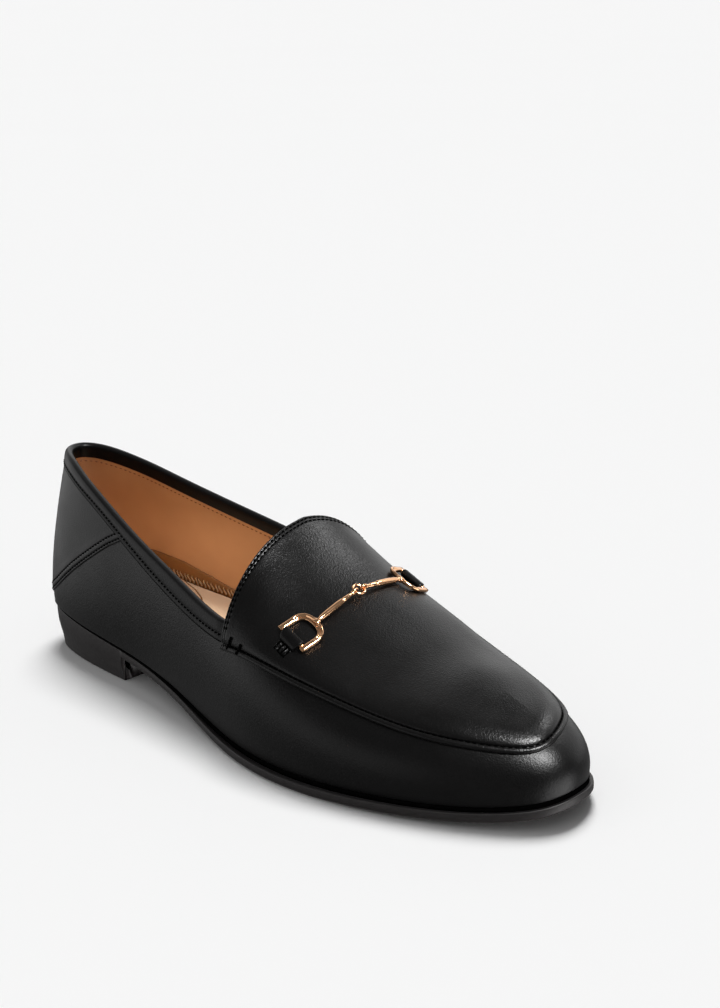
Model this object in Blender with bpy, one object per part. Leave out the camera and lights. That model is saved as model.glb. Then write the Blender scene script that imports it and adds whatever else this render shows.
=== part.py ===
"""Bit loafer, right shoe: a low slip-on with an apron front and a metal bit across the instep.

The row frame is metres with +X to the toe, +Y to the medial (inner) side and +Z up. The sole's lowest face is z = 0 and
the origin is the middle of the bounding box's bottom face. Tables and sizes below are in millimetres, measured from the
back of the heel on the shoe's own axis.
"""
import math

import bpy
import numpy as np

MM = 0.001

# ---- driving sizes, millimetres ----
WALL = 1.8              # upper: leather and lining together
GAP = 0.3               # between neighbouring pieces
BINDING_PROUD = 0.3     # how far it stands over the quarters, each side
THROAT_X = 139.0        # where the topline meets the tongue's edge
APRON_PROUD = 0.9       # the apron's edge over the vamp
APRON_CROWN = 0.25      # the apron's middle over the last
APRON_INNER = 1.4
SOLE_DEPTH = 5.0        # from the upper's lower edge to the sole's underside
SOLE_GAP = 0.5          # groove between the upper and the sole
HEEL_TAPER = 1.9        # how much the heel draws in from the sole's edge to the floor
BREAST_X = 61.7         # front face of the heel at the floor
BREAST_LEAN = 1.6
INSOLE_INSET = 2.5
BOX_MIDDLE = (134.55, -3.8)   # the middle of the bounding box on the shoe's own axes

# ---- the last: one row per station ----
# x lat med: the upper's lower edge, in plan; feather: its height; swell rise spine shoulder: the rib's curve from
# there to the top; collar: topline height; seam: where the apron is let in, as a share of the rib; edge: how far the
# sole stands out; bind: the collar binding's depth; bed: the insole's top over the lower edge
COLUMNS = ("x", "lat", "med", "feather", "swell_lat", "swell_med", "rise", "spine_x", "spine_y", "spine_z",
           "shoulder", "collar_lat", "collar_med", "seam_lat", "seam_med", "edge", "bind", "bed")
STATIONS = (
    ("heel_back",    0.9,   0.0,   0.0, 19.5,  1.9,  1.9,  0.48,  40,  0.0, 120.0, 0.83, 81.8, 81.8, 0.00, 0.00, -1.0, 5.8, 7.5),
    ("heel_diag",    4.5, -15.0,  12.2, 19.35, 1.65, 1.6,  0.37,  41,  0.0, 120.0, 0.49, 81.6, 80.2, 0.00, 0.00, -1.1, 5.8, 7.5),
    ("heel_side",   20.4, -24.0,  21.3, 18.5,  2.05, 1.85, 0.26,  44,  0.0, 119.0, 0.36, 78.3, 76.3, 0.00, 0.00, -1.1, 5.8, 7.5),
    ("heel_front",  47.3, -28.0,  23.7, 16.6,  3.35, 3.3,  0.29,  55,  0.0, 115.0, 0.45, 71.5, 71.2, 0.00, 0.00, -0.9, 5.8, 7.5),
    ("shank",       76.7, -29.9,  26.7, 13.8,  4.9,  5.1,  0.39,  77,  0.5, 108.0, 0.62, 62.4, 63.9, 0.10, 0.10, -0.5, 7.2, 7.5),
    ("waist",      106.0, -34.4,  31.0,  9.8,  4.8,  6.3,  0.45, 103,  1.2,  99.0, 0.72, 54.5, 56.8, 0.19, 0.21,  0.4, 8.6, 6.8),
    ("instep",     133.2, -40.4,  37.0,  5.75, 4.05, 6.3,  0.52, 130,  2.3,  81.3, 0.78, 48.3, 50.4, 0.29, 0.32,  1.6, 7.5, 5.6),
    ("joint_lat",  157.5, -45.6,  39.0,  5.0,  4.35, 5.65, 0.59, 157,  3.3,  61.2, 0.84, 48.2, 48.8, 0.40, 0.42,  2.2, 6.9, 5.0),
    ("ball",       182.2, -46.4,  38.7,  5.0,  4.9,  4.35, 0.61, 182,  3.1,  49.1, 0.84, 50.0, 50.0, 0.46, 0.51,  2.2, 6.9, 4.6),
    ("joint_med",  205.7, -42.9,  36.6,  5.55, 5.0,  3.25, 0.60, 203,  2.3,  41.6, 0.80, 50.0, 50.0, 0.48, 0.54,  1.9, 6.9, 4.3),
    ("toe_root",   229.2, -35.6,  29.2,  6.4,  4.6,  2.85, 0.57, 220,  1.0,  39.2, 0.75, 50.0, 50.0, 0.455, 0.508, 1.6, 6.9, 4.1),
    ("toe_side",   251.0, -24.8,  19.0,  8.05, 3.75, 3.05, 0.56, 232, -0.6,  36.9, 0.72, 50.0, 50.0, 0.462, 0.533, 1.4, 6.9, 4.0),
    ("toe_diag",   263.1, -14.9,   8.3, 10.2,  3.0,  2.95, 0.54, 237, -1.4,  35.7, 0.67, 50.0, 50.0, 0.488, 0.588, 1.25, 6.9, 4.0),
    ("toe_tip",    266.7,  -4.8,  -4.8, 11.6,  2.7,  2.7,  0.54, 238, -1.6,  35.45, 0.63, 50.0, 50.0, 0.55, 0.55, 1.2, 6.9, 4.0),
)
TABLE = {c: np.array([row[1 + i] for row in STATIONS], float) for i, c in enumerate(COLUMNS)}
COUNT = len(STATIONS)

def knots():
    x, lat, med = TABLE["x"], TABLE["lat"], TABLE["med"]
    steps = (np.hypot(np.diff(x), np.diff(lat)) + np.hypot(np.diff(x), np.diff(med))) / 2
    s = np.concatenate([[0], np.cumsum(steps)])
    s /= s[-1]
    return np.concatenate([s / 2, 1 - s[-2:0:-1] / 2])
KNOTS = knots()

def spline_matrix():
    u, n = KNOTS, len(KNOTS)
    h = np.diff(np.append(u, u[0] + 1))
    a, r = np.zeros((n, n)), np.zeros((n, n))
    for i in range(n):
        before, after = h[i - 1], h[i]
        a[i, (i - 1) % n] += before
        a[i, i] += 2 * (before + after)
        a[i, (i + 1) % n] += after
        r[i, (i + 1) % n] += 6 / after
        r[i, i] -= 6 / after + 6 / before
        r[i, (i - 1) % n] += 6 / before
    return np.linalg.solve(a, r), h
CURVATURE, GAPS = spline_matrix()

def around(lat, med, u):
    n = len(KNOTS)
    y = np.concatenate([TABLE[lat], TABLE[med][-2:0:-1]])
    bend = CURVATURE @ y
    q = np.mod(u, 1.0)
    k = np.clip(np.searchsorted(KNOTS, q, side="right") - 1, 0, n - 1)
    h = GAPS[k]
    b = (q - KNOTS[k]) / h
    a = 1 - b
    nxt = (k + 1) % n
    return a * y[k] + b * y[nxt] + ((a**3 - a) * bend[k] + (b**3 - b) * bend[nxt]) * h * h / 6


TABLE["slope"] = np.gradient(TABLE["spine_z"], TABLE["spine_x"])


def feather(u):
    return np.stack([around("x", "x", u), around("lat", "med", u), around("feather", "feather", u)], -1)

def plan_normal(u):
    d = feather(u + 5e-4) - feather(u - 5e-4)
    n = np.stack([d[..., 1], -d[..., 0], 0 * d[..., 0]], -1)
    return n / np.linalg.norm(n, axis=-1, keepdims=True)

def rib(u, t):
    u, t = np.broadcast_arrays(np.asarray(u, float), np.asarray(t, float))
    o, n = feather(u), plan_normal(u)
    c = np.stack([around("spine_" + k, "spine_" + k, u) for k in "xyz"], -1)
    slope = around("slope", "slope", u)
    swell = around("swell_lat", "swell_med", u)[..., None]
    rise = around("rise", "rise", u)
    shoulder = around("shoulder", "shoulder", u)
    p1 = o + n * swell
    p1[..., 2] += rise * (c[..., 2] - o[..., 2])
    d = (o - c) * shoulder[..., None]
    p2 = c + np.stack([d[..., 0], d[..., 1], slope * d[..., 0]], -1)
    t = t[..., None]
    return (1 - t)**3 * o + 3 * (1 - t)**2 * t * p1 + 3 * (1 - t) * t * t * p2 + t**3 * c

def skin(u, t, off=0.0):
    """a point of the last's surface, moved outwards by off"""
    u, t, off = np.broadcast_arrays(np.asarray(u, float), np.asarray(t, float), np.asarray(off, float))
    p = rib(u, t)
    e = 1e-3
    du = rib(u + e, t) - rib(u - e, t)
    dt = rib(u, np.minimum(t + e, 1)) - rib(u, np.maximum(t - e, 0))
    n = np.cross(du, dt)
    n /= np.linalg.norm(n, axis=-1, keepdims=True) + 1e-12
    slope = around("slope", "slope", u)
    top = np.stack([-slope, 0 * slope, 1 + 0 * slope], -1)
    top /= np.linalg.norm(top, axis=-1, keepdims=True)
    w = np.clip((t - 0.94) / 0.06, 0, 1)[..., None]
    w = w * w * (3 - 2 * w)
    n = n * (1 - w) + top * w
    n /= np.linalg.norm(n, axis=-1, keepdims=True)
    return p + n * off[..., None]

def at_height(u, z):
    """t of the rib at u where it reaches the height z"""
    ts = np.linspace(0, 1, 201)
    u, z = np.broadcast_arrays(np.asarray(u, float), np.asarray(z, float))
    zs = rib(u.reshape(-1, 1), ts[None])[..., 2]
    out = [np.interp(v, np.maximum.accumulate(row), ts) for v, row in zip(z.reshape(-1), zs)]
    return np.array(out).reshape(u.shape)


# ---- scene ----
def clear():
    for obj in list(bpy.data.objects):
        bpy.data.objects.remove(obj, do_unlink=True)


def collection(name, helper=False):
    made = bpy.data.collections.new(name)
    bpy.context.scene.collection.children.link(made)
    made.hide_render = helper
    return made


def material(name, colour, roughness, metallic=0.0):
    made = bpy.data.materials.new(name)
    made.use_nodes = True
    shader = made.node_tree.nodes["Principled BSDF"]
    shader.inputs["Base Color"].default_value = (*colour, 1.0)
    shader.inputs["Roughness"].default_value = roughness
    shader.inputs["Metallic"].default_value = metallic
    made.diffuse_color = (*colour, 1.0)
    return made


def to_row(points):
    points = np.array(points, float).reshape(-1, 3)
    return (points - np.array([BOX_MIDDLE[0], BOX_MIDDLE[1], 0.0])) * MM


def solid(name, points, faces, shade, home, smooth=True):
    """a mesh object from points in millimetres on the shoe's axes; its origin is put at its own middle"""
    points = to_row(points)
    middle = (points.min(axis=0) + points.max(axis=0)) / 2
    mesh = bpy.data.meshes.new(name)
    mesh.from_pydata([tuple(p) for p in points - middle], [], [tuple(int(v) for v in f) for f in faces])
    mesh.polygons.foreach_set("use_smooth", [smooth] * len(mesh.polygons))
    mesh.materials.append(shade)
    mesh.update()
    made = bpy.data.objects.new(name, mesh)
    made.location = middle
    home.objects.link(made)
    return made


def quads(top, bottom, closed, flip=False):
    """faces between two rows of point numbers"""
    n = len(top)
    found = []
    for i in range(n if closed else n - 1):
        j = (i + 1) % n
        ring = [bottom[i], bottom[j], top[j], top[i]]
        ring = [v for k, v in enumerate(ring) if v not in ring[:k]]
        if len(ring) > 2:
            found.append(ring[::-1] if flip else ring)
    return found


# ---- stations round the shoe ----
def warp(s, start, end):
    """crowds the rows towards one or both ends"""
    return s - start * np.sin(math.pi * s) ** 2 * (1 - s) - end * -np.sin(math.pi * s) ** 2 * s


def throat_u():
    us = np.linspace(0.2, 0.32, 400)
    xs = skin(us, around("seam_lat", "seam_med", us))[:, 0]
    return float(np.interp(THROAT_X, xs, us))


REAR_ROWS, FRONT_ROWS = 25, 21
U_THROAT = throat_u()
rear = U_THROAT * warp(np.linspace(0, 1, REAR_ROWS + 1), 0.22, 0.0)
front = U_THROAT + (0.5 - U_THROAT) * warp(np.linspace(0, 1, FRONT_ROWS + 1), 0.0, 0.16)
HALF = np.concatenate([rear, front[1:]])           # heel back to toe tip, lateral side
ROUND = np.concatenate([HALF, 1 - HALF[-2:0:-1]])  # all the way round, towards the lateral side first


def seam_t(u):
    return around("seam_lat", "seam_med", u)


def drop_t(u, drop):
    """t of the point this far under the topline"""
    return at_height(u, around("collar_lat", "collar_med", u) - drop)


def ease(v):
    v = np.clip(v, 0, 1)
    return v * v * (3 - 2 * v)


def cut_t(u):
    """where the quarters and the vamp skirt end: under the binding at the back, at the apron's seam in front"""
    low = drop_t(u, around("bind", "bind", u))
    seam = seam_t(u)
    w = ease((feather(u)[:, 0] - 118.0) / (THROAT_X + 0.6 - 118.0))
    return low * (1 - w) + seam * w


def gap_t(u, t, size):
    """a step in t that is this many millimetres long"""
    e = 1e-3
    run = np.linalg.norm(rib(u, t + e) - rib(u, t - e), axis=-1) / (2 * e)
    return size / run


def upper(shade, home):
    """quarters and vamp skirt as one hollow wall, open above and below"""
    outside, inside = 10, 7
    u = ROUND
    end = cut_t(u) - gap_t(u, cut_t(u), GAP / 2)
    n = len(u)
    out = skin(u[:, None], end[:, None] * np.linspace(0, 1, outside)[None], 0.0)
    ins = skin(u[:, None], end[:, None] * np.linspace(0, 1, inside)[None], -WALL)
    points = np.concatenate([out.reshape(-1, 3), ins.reshape(-1, 3)])
    o = np.arange(n * outside).reshape(n, outside)
    k = n * outside + np.arange(n * inside).reshape(n, inside)
    faces = []
    for j in range(outside - 1):
        faces += quads(o[:, j + 1], o[:, j], True)
    for j in range(inside - 1):
        faces += quads(k[:, j + 1], k[:, j], True, flip=True)
    faces += quads(k[:, -1], o[:, -1], True)
    faces += quads(o[:, 0], k[:, 0], True)
    return solid("upper", points, faces, shade, home)


# collar binding's section: how far under the topline (None: its lower edge), how far off the last
BINDING_SECTION = (
    (None, BINDING_PROUD),
    (3.2, BINDING_PROUD + 0.1),
    (0.9, BINDING_PROUD),
    (0.2, -0.25),
    (0.0, -0.9),
    (0.2, -1.55),
    (0.9, -WALL - BINDING_PROUD),
    (3.2, -WALL - BINDING_PROUD),
    (None, -WALL - BINDING_PROUD),
)


def binding(shade, home):
    """a folded strip on the quarters' upper edge, from throat corner to throat corner round the heel"""
    u = np.concatenate([-rear[::-1], rear[1:]])   # medial throat, heel, lateral throat
    shift = 0.5 / 310.0
    u[0] += shift
    u[-1] -= shift
    deep = cut_t(u) + gap_t(u, cut_t(u), GAP / 2)
    rows = []
    for drop, off in BINDING_SECTION:
        t = deep if drop is None else drop_t(u, drop)
        rows.append(skin(u, t, off))
    grid = np.stack(rows, 1)
    n, m = grid.shape[:2]
    ids = np.arange(n * m).reshape(n, m)
    faces = []
    for j in range(m):
        faces += quads(ids[:, (j + 1) % m], ids[:, j], False)
    faces.append(list(ids[0]))
    faces.append(list(ids[-1][::-1]))
    return solid("collar_binding", grid.reshape(-1, 3), faces, shade, home)


APRON_COLUMNS = (0.0, 0.04, 0.12, 0.24, 0.38, 0.52, 0.66, 0.8, 0.91, 1.0)   # from the seam (0) to the ridge (1)


def apron(shade, home):
    """the plug set into the vamp, in one piece with the tongue"""
    u = front
    share = np.array(APRON_COLUMNS)
    lift = APRON_CROWN + (APRON_PROUD - APRON_CROWN) * np.exp(-((share / 0.22) ** 2))
    lift[0] -= 0.35
    sides = []
    for sign in (1, -1):
        v = u if sign > 0 else 1 - u
        start = seam_t(v) + gap_t(v, seam_t(v), GAP / 2)
        t = start[:, None] + (1 - start[:, None]) * share[None]
        sides.append((skin(v[:, None], t, lift[None]), skin(v[:, None], t, -APRON_INNER)))
    points, index = [], {}

    def number(layer, i, j):
        """j runs from the lateral seam over the ridge to the medial seam"""
        m = len(share) - 1
        side, col = (0, j) if j <= m else (1, 2 * m - j)
        if i == len(u) - 1:
            side = 0
        key = (layer, i, side if col < m else 0, col)
        if key not in index:
            index[key] = len(points)
            points.append(sides[side][layer][i, col])
        return index[key]

    width = 2 * (len(share) - 1) + 1
    ids = [[[number(layer, i, j) for j in range(width)] for i in range(len(u))] for layer in (0, 1)]
    faces = []
    for i in range(len(u) - 1):
        faces += quads(ids[0][i], ids[0][i + 1], False)
        faces += quads(ids[1][i], ids[1][i + 1], False, flip=True)
    faces += quads(ids[1][0], ids[0][0], False)
    edge = [[row[0] for row in ids[layer]] + [row[-1] for row in ids[layer]][-2::-1] for layer in (0, 1)]
    faces += quads(edge[0], edge[1], False)
    return solid("apron", points, faces, shade, home)


def slab(name, rings, fill, shade, home):
    """a plate from closed rings, first ring on top and last below, both filled with rungs across the shoe"""
    n = len(rings[0])
    half = n // 2
    points = [p for ring in rings for p in ring]
    ids = np.arange(len(rings) * n).reshape(len(rings), n)
    faces = []
    for above, below in zip(ids[:-1], ids[1:]):
        faces += quads(above, below, True)
    for ring, below in ((0, False), (len(rings) - 1, True)):
        loop = ids[ring]
        rungs = [[loop[0]]]
        for i in range(1, half):
            left, right = loop[i], loop[n - i]
            row = [left]
            a, b = np.array(points[left]), np.array(points[right])
            for k in range(1, fill):
                row.append(len(points))
                points.append(a + (b - a) * k / fill)
            rungs.append(row + [right])
        rungs.append([loop[half]])
        for a, b in zip(rungs[:-1], rungs[1:]):
            if len(a) == 1:
                found = [[a[0], b[k], b[k + 1]] for k in range(len(b) - 1)]
            elif len(b) == 1:
                found = [[a[k + 1], a[k], b[0]] for k in range(len(a) - 1)]
            else:
                found = [[a[k + 1], a[k], b[k], b[k + 1]] for k in range(len(a) - 1)]
            faces += [f[::-1] for f in found] if below else found
    return solid(name, points, faces, shade, home)


def ring(u, out, z):
    p = feather(u) + plan_normal(u) * np.broadcast_to(out, u.shape)[:, None]
    p[:, 2] = z
    return p


def level(p):
    """each rung lies square to the shoe's axis: both of its ends take the same x"""
    n = len(p)
    for i in range(1, n // 2):
        p[i, 0] = p[n - i, 0] = (p[i, 0] + p[n - i, 0]) / 2
    return p


def breast_rows():
    """the rows round the shoe, with two more pairs at the heel's front face"""
    xs = feather(HALF)[:, 0]
    at = float(np.interp(BREAST_X + BREAST_LEAN, xs, HALF))
    near = [u for u in HALF if abs(u - at) > 0.004]
    half = np.array(sorted(near + [at - 4e-4, at + 4e-4]))
    return np.concatenate([half, 1 - half[-2:0:-1]]), half, at


def sole(shade, home):
    """sole and low heel in one piece"""
    u, half, at = breast_rows()
    edge = around("edge", "edge", u)
    high = around("feather", "feather", u)
    low = np.maximum(high - SOLE_DEPTH, 0.0)
    heel = np.minimum(u, 1 - u) < at
    flat = (feather(u)[:, 0] > 160) & (feather(u)[:, 0] < 190)
    low[flat] = 0.0
    top = ring(u, edge + 0.1, high - SOLE_GAP)
    brim = ring(u, edge + 0.35, high - SOLE_GAP - 0.7)
    side = ring(u, np.where(heel, edge - 0.2, edge + 0.55), np.where(heel, low, low + 1.1))
    foot = ring(u, np.where(heel, edge - HEEL_TAPER + 0.25, edge + 0.45), np.where(heel, 0.9, low + 0.45))
    base = ring(u, np.where(heel, edge - HEEL_TAPER - 0.25, edge - 0.25), np.where(heel, 0.0, low))
    rings = [level(r) for r in (top, brim, side, foot, base)]
    lean = {0: 0.0, 1: 0.0, 2: 0.0, 3: 0.9, 4: 1.0}
    n = len(u)
    i = int(np.argmin(np.abs(half - (at - 4e-4))))
    for k, r in enumerate(rings):
        for j, x in ((i, BREAST_X + BREAST_LEAN * (1 - lean[k])), (i + 1, BREAST_X + BREAST_LEAN + 0.05)):
            r[j, 0] = r[n - j, 0] = x
    return slab("sole", rings, 5, shade, home)


def insole(shade, home):
    u = ROUND
    high = around("feather", "feather", u)
    out = -INSOLE_INSET * np.ones(len(u))
    top = high + around("bed", "bed", u)
    rings = [ring(u, out - 0.7, top), ring(u, out, top - 0.7), ring(u, out, high + 0.05)]
    return slab("insole", [level(r) for r in rings], 4, shade, home)


# ---- the bit ----
D_HALF = 6.1            # half the D's width, on its centre line
D_STRAIGHT = 4.3
D_DEPTH = 9.5           # from its crossbar to the top of its bow
D_TAIL = 0.9            # how far its arms run past the crossbar
D_SECTION = ((-1.08, -0.42), (-0.8, -0.74), (0.8, -0.74), (1.08, -0.42), (1.08, 0.3), (0.7, 0.74), (-0.7, 0.74), (-1.08, 0.3))
CROSSBAR_R = 0.7
RING_R, RING_WIRE = 2.2, 0.45
EYE_R, EYE_WIRE = 1.15, 0.42
KEEPER_WIDE = 9.4
D_LIFT, CENTRE_LIFT = 2.3, 2.9
# where the bit sits on the last: u and t of the crossbar's back end and front end
BIT = {"lateral": ((0.298, 0.613), (0.316, 0.604)), "medial": ((0.707, 0.671), (0.688, 0.647))}
BIT_CENTRE = (0.3075, 0.952)
# the bar's radius along its length
BAR = ((0.0, 0.9), (0.1, 0.8), (0.14, 0.72), (0.3, 1.08), (0.55, 1.2), (0.74, 1.12), (0.78, 0.82), (1.0, 0.55))


def unit(v):
    return np.array(v, float) / np.linalg.norm(v)


def sweep(path, ups, section, closed):
    """a section (side, up) carried along a path; the faces point out"""
    path = np.array(path, float)
    n, m = len(path), len(section)
    if closed:
        tangent = np.roll(path, -1, 0) - np.roll(path, 1, 0)
    else:
        tangent = np.gradient(path, axis=0)
    points = []
    for k in range(n):
        t = unit(tangent[k])
        up = np.array(ups[k] if np.ndim(ups) == 2 else ups, float)
        up = unit(up - t * (up @ t))
        side = np.cross(t, up)
        sec = section[k] if np.ndim(section) == 3 else section
        points += [path[k] + side * a + up * b for a, b in sec]
        m = len(sec)
    ids = np.arange(n * m).reshape(n, m)
    faces = []
    for j in range(m):
        faces += quads(ids[:, (j + 1) % m], ids[:, j], closed, flip=True)
    if not closed:
        faces.append(list(ids[0][::-1]))
        faces.append(list(ids[-1]))
    return points, faces


def circle(radius, count, squash=1.0):
    a = np.arange(count) * 2 * math.pi / count
    return [(radius * math.cos(v), radius * squash * math.sin(v)) for v in a]


def torus(middle, across, up, radius, wire, count=20, sides=8):
    normal = unit(np.cross(across, up))
    a = np.arange(count) * 2 * math.pi / count
    path = [np.array(middle) + radius * (math.cos(v) * unit(across) + math.sin(v) * unit(up)) for v in a]
    return sweep(path, np.array([normal] * count), circle(wire, sides), True)


def join(first, others, home):
    """one closed body from overlapping ones"""
    for k, other in enumerate(others):
        cut = first.modifiers.new(f"join_{k}", "BOOLEAN")
        cut.operation, cut.solver, cut.object = "UNION", "EXACT", other
        other.hide_render = True
        other.display_type = "WIRE"
    return first


def bit_frames():
    """the D's corner frames and the middle of the centre ring"""
    centre = skin(*BIT_CENTRE, CENTRE_LIFT)
    found = {}
    for side, (back, fore) in BIT.items():
        a, b = skin(*back, 0.0), skin(*fore, 0.0)
        along = unit(b - a)
        on = (np.array(back) + np.array(fore)) / 2
        middle = skin(*on, 0.0)
        step = 5.0 / np.linalg.norm(skin(on[0], on[1] + 0.1) - skin(on[0], on[1])) * 0.1
        normal = skin(on[0], on[1] + step, 1.0) - skin(on[0], on[1] + step, 0.0)
        normal = unit(normal - along * (normal @ along))
        across = np.cross(normal, along)
        if across @ (centre - middle) < 0:
            across = -across
        found[side] = (middle + normal * D_LIFT, along, across, normal)
    return found, centre


def bit_half(side, frames, centre, shade, home, helpers):
    origin, along, across, normal = frames[side]
    bow = []
    for k in range(15):
        v = math.pi * k / 14
        bow.append((D_HALF * math.copysign(abs(math.cos(v)) ** 0.78, math.cos(v)), D_STRAIGHT + (D_DEPTH - D_STRAIGHT) * math.sin(v) ** 0.82))
    line = [(D_HALF, -D_TAIL), (D_HALF, 1.6)] + bow + [(-D_HALF, 1.6), (-D_HALF, -D_TAIL)]
    path = [origin + along * a + across * b for a, b in line]
    d_ring = solid(f"bit_{side}", *sweep(path, normal, D_SECTION, False), shade, home)
    ends = [origin - along * (D_HALF + 0.3), origin + along * (D_HALF + 0.3)]
    cross = solid(f"crossbar_{side}", *sweep(ends, normal, circle(CROSSBAR_R, 10), False), shade, helpers)
    start = origin + across * (D_DEPTH - 0.2)
    flat = start - centre
    flat = unit(flat - centre_normal() * (flat @ centre_normal()))
    eye_middle = centre + flat * RING_R
    finish = eye_middle + flat * (EYE_R + 0.05)
    run = finish - start
    bar_path = [start + run * s for s, _ in BAR]
    bar = solid(f"bar_{side}", *sweep(bar_path, normal, [circle(r, 10) for _, r in BAR], False), shade, helpers)
    eye = solid(f"eye_{side}", *torus(eye_middle, flat, centre_normal(), EYE_R, EYE_WIRE, 18, 8), shade, helpers)
    return join(d_ring, [cross, bar, eye], home)


def centre_normal():
    u, t = BIT_CENTRE
    return unit(skin(u, t, 1.0) - skin(u, t, 0.0))


def keeper(side, frames, shade, home):
    """a leather loop round the D's crossbar, with its tail flat on the apron"""
    origin, along, across, normal = frames[side]
    inner = CROSSBAR_R + GAP + 0.05
    outline = []
    for k in range(20):
        v = math.pi * (1 - 2 * k / 20.0) - 0.001
        outline.append((1.72 * math.cos(v), 1.62 * math.sin(v)))
    tail = [(-6.3, -0.62), (-6.5, -1.1), (-6.3, -1.6), (-3.6, -1.66)]
    top = [p for p in outline if not (p[0] < -0.2 and p[1] < 0.05)]
    top = sorted(top, key=lambda p: -math.atan2(p[1], p[0]))
    loop = [(-1.72, 0.02)] + [p for p in top if p[0] > -1.7] + [(-1.2, -1.67)] + tail[::-1]
    hole = []
    for a, b in loop:
        v = math.atan2(b, a)
        hole.append((inner * math.cos(v), inner * math.sin(v)))
    m = len(loop)
    points = []
    for s in (-0.5, 0.5):
        for a, b in loop + hole:
            points.append(origin + across * a + normal * b + along * (KEEPER_WIDE * s))
    lo = np.arange(m)
    faces = []
    base = [lo, lo + m, lo + 2 * m, lo + 3 * m]   # outer, hole at one end; outer, hole at the other
    faces += quads(base[2], base[0], True)
    faces += quads(base[3], base[1], True, flip=True)
    faces += quads(base[0], base[1], True)
    faces += quads(base[2], base[3], True, flip=True)
    made = solid(f"keeper_{side}", points, faces, shade, home)
    return made


def volume(obj):
    mesh = obj.data
    mesh.calc_loop_triangles()
    p = np.array([v.co for v in mesh.vertices])
    f = np.array([t.vertices for t in mesh.loop_triangles])
    return float(np.einsum("ij,ij->i", p[f[:, 0]], np.cross(p[f[:, 1]], p[f[:, 2]])).sum() / 6)


def face_out(obj):
    """turns a mesh whose faces point in"""
    if volume(obj) < 0:
        obj.data.flip_normals()


def main():
    clear()
    home = collection("bit_loafer")
    helpers = collection("helpers", helper=True)
    leather = material("upper_leather", (0.018, 0.018, 0.019), 0.42)
    apron_skin = material("apron_leather", (0.02, 0.02, 0.021), 0.36)
    edge = material("binding_leather", (0.016, 0.016, 0.017), 0.45)
    rubber = material("sole_rubber", (0.015, 0.0145, 0.0145), 0.6)
    cream = material("insole_leather", (0.72, 0.5, 0.33), 0.6)
    tab = material("keeper_leather", (0.017, 0.017, 0.018), 0.45)
    gold = material("bit_metal", (0.86, 0.5, 0.24), 0.18, 1.0)
    ring_gold = material("ring_metal", (0.86, 0.5, 0.24), 0.18, 1.0)
    upper(leather, home)
    binding(edge, home)
    apron(apron_skin, home)
    sole(rubber, home)
    insole(cream, home)
    frames, centre = bit_frames()
    for side in ("lateral", "medial"):
        bit_half(side, frames, centre, gold, home, helpers)
        keeper(side, frames, tab, home)
    out = centre_normal()
    along = unit(np.cross(out, [0, 1, 0]))
    solid("bit_centre_ring", *torus(centre, along, np.cross(out, along), RING_R, RING_WIRE, 24, 8), ring_gold, home)
    for obj in list(home.objects) + list(helpers.objects):
        face_out(obj)


main()
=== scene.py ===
"""Looks of the bit loafer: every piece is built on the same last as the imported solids, in the same frame."""
import math

import bpy
import numpy as np
from mathutils import Matrix, Vector


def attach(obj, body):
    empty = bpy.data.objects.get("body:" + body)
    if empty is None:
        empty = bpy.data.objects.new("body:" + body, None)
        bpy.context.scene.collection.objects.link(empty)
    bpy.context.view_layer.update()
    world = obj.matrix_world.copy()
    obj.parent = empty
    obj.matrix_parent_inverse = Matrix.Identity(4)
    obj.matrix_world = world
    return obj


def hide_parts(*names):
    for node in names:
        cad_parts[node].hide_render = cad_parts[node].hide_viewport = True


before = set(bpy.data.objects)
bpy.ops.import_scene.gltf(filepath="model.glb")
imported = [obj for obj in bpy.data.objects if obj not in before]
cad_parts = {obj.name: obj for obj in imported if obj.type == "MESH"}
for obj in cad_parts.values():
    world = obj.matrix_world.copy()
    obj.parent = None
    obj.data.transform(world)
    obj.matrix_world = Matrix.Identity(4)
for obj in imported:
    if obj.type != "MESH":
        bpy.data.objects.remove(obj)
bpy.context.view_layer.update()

MM = 0.001
BOX_MIDDLE = (134.55, -3.8)
WALL = 1.8
THROAT_X = 139.0
BREAST_X, BREAST_LEAN = 61.7, 1.6
HEEL_TAPER = 1.9

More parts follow.
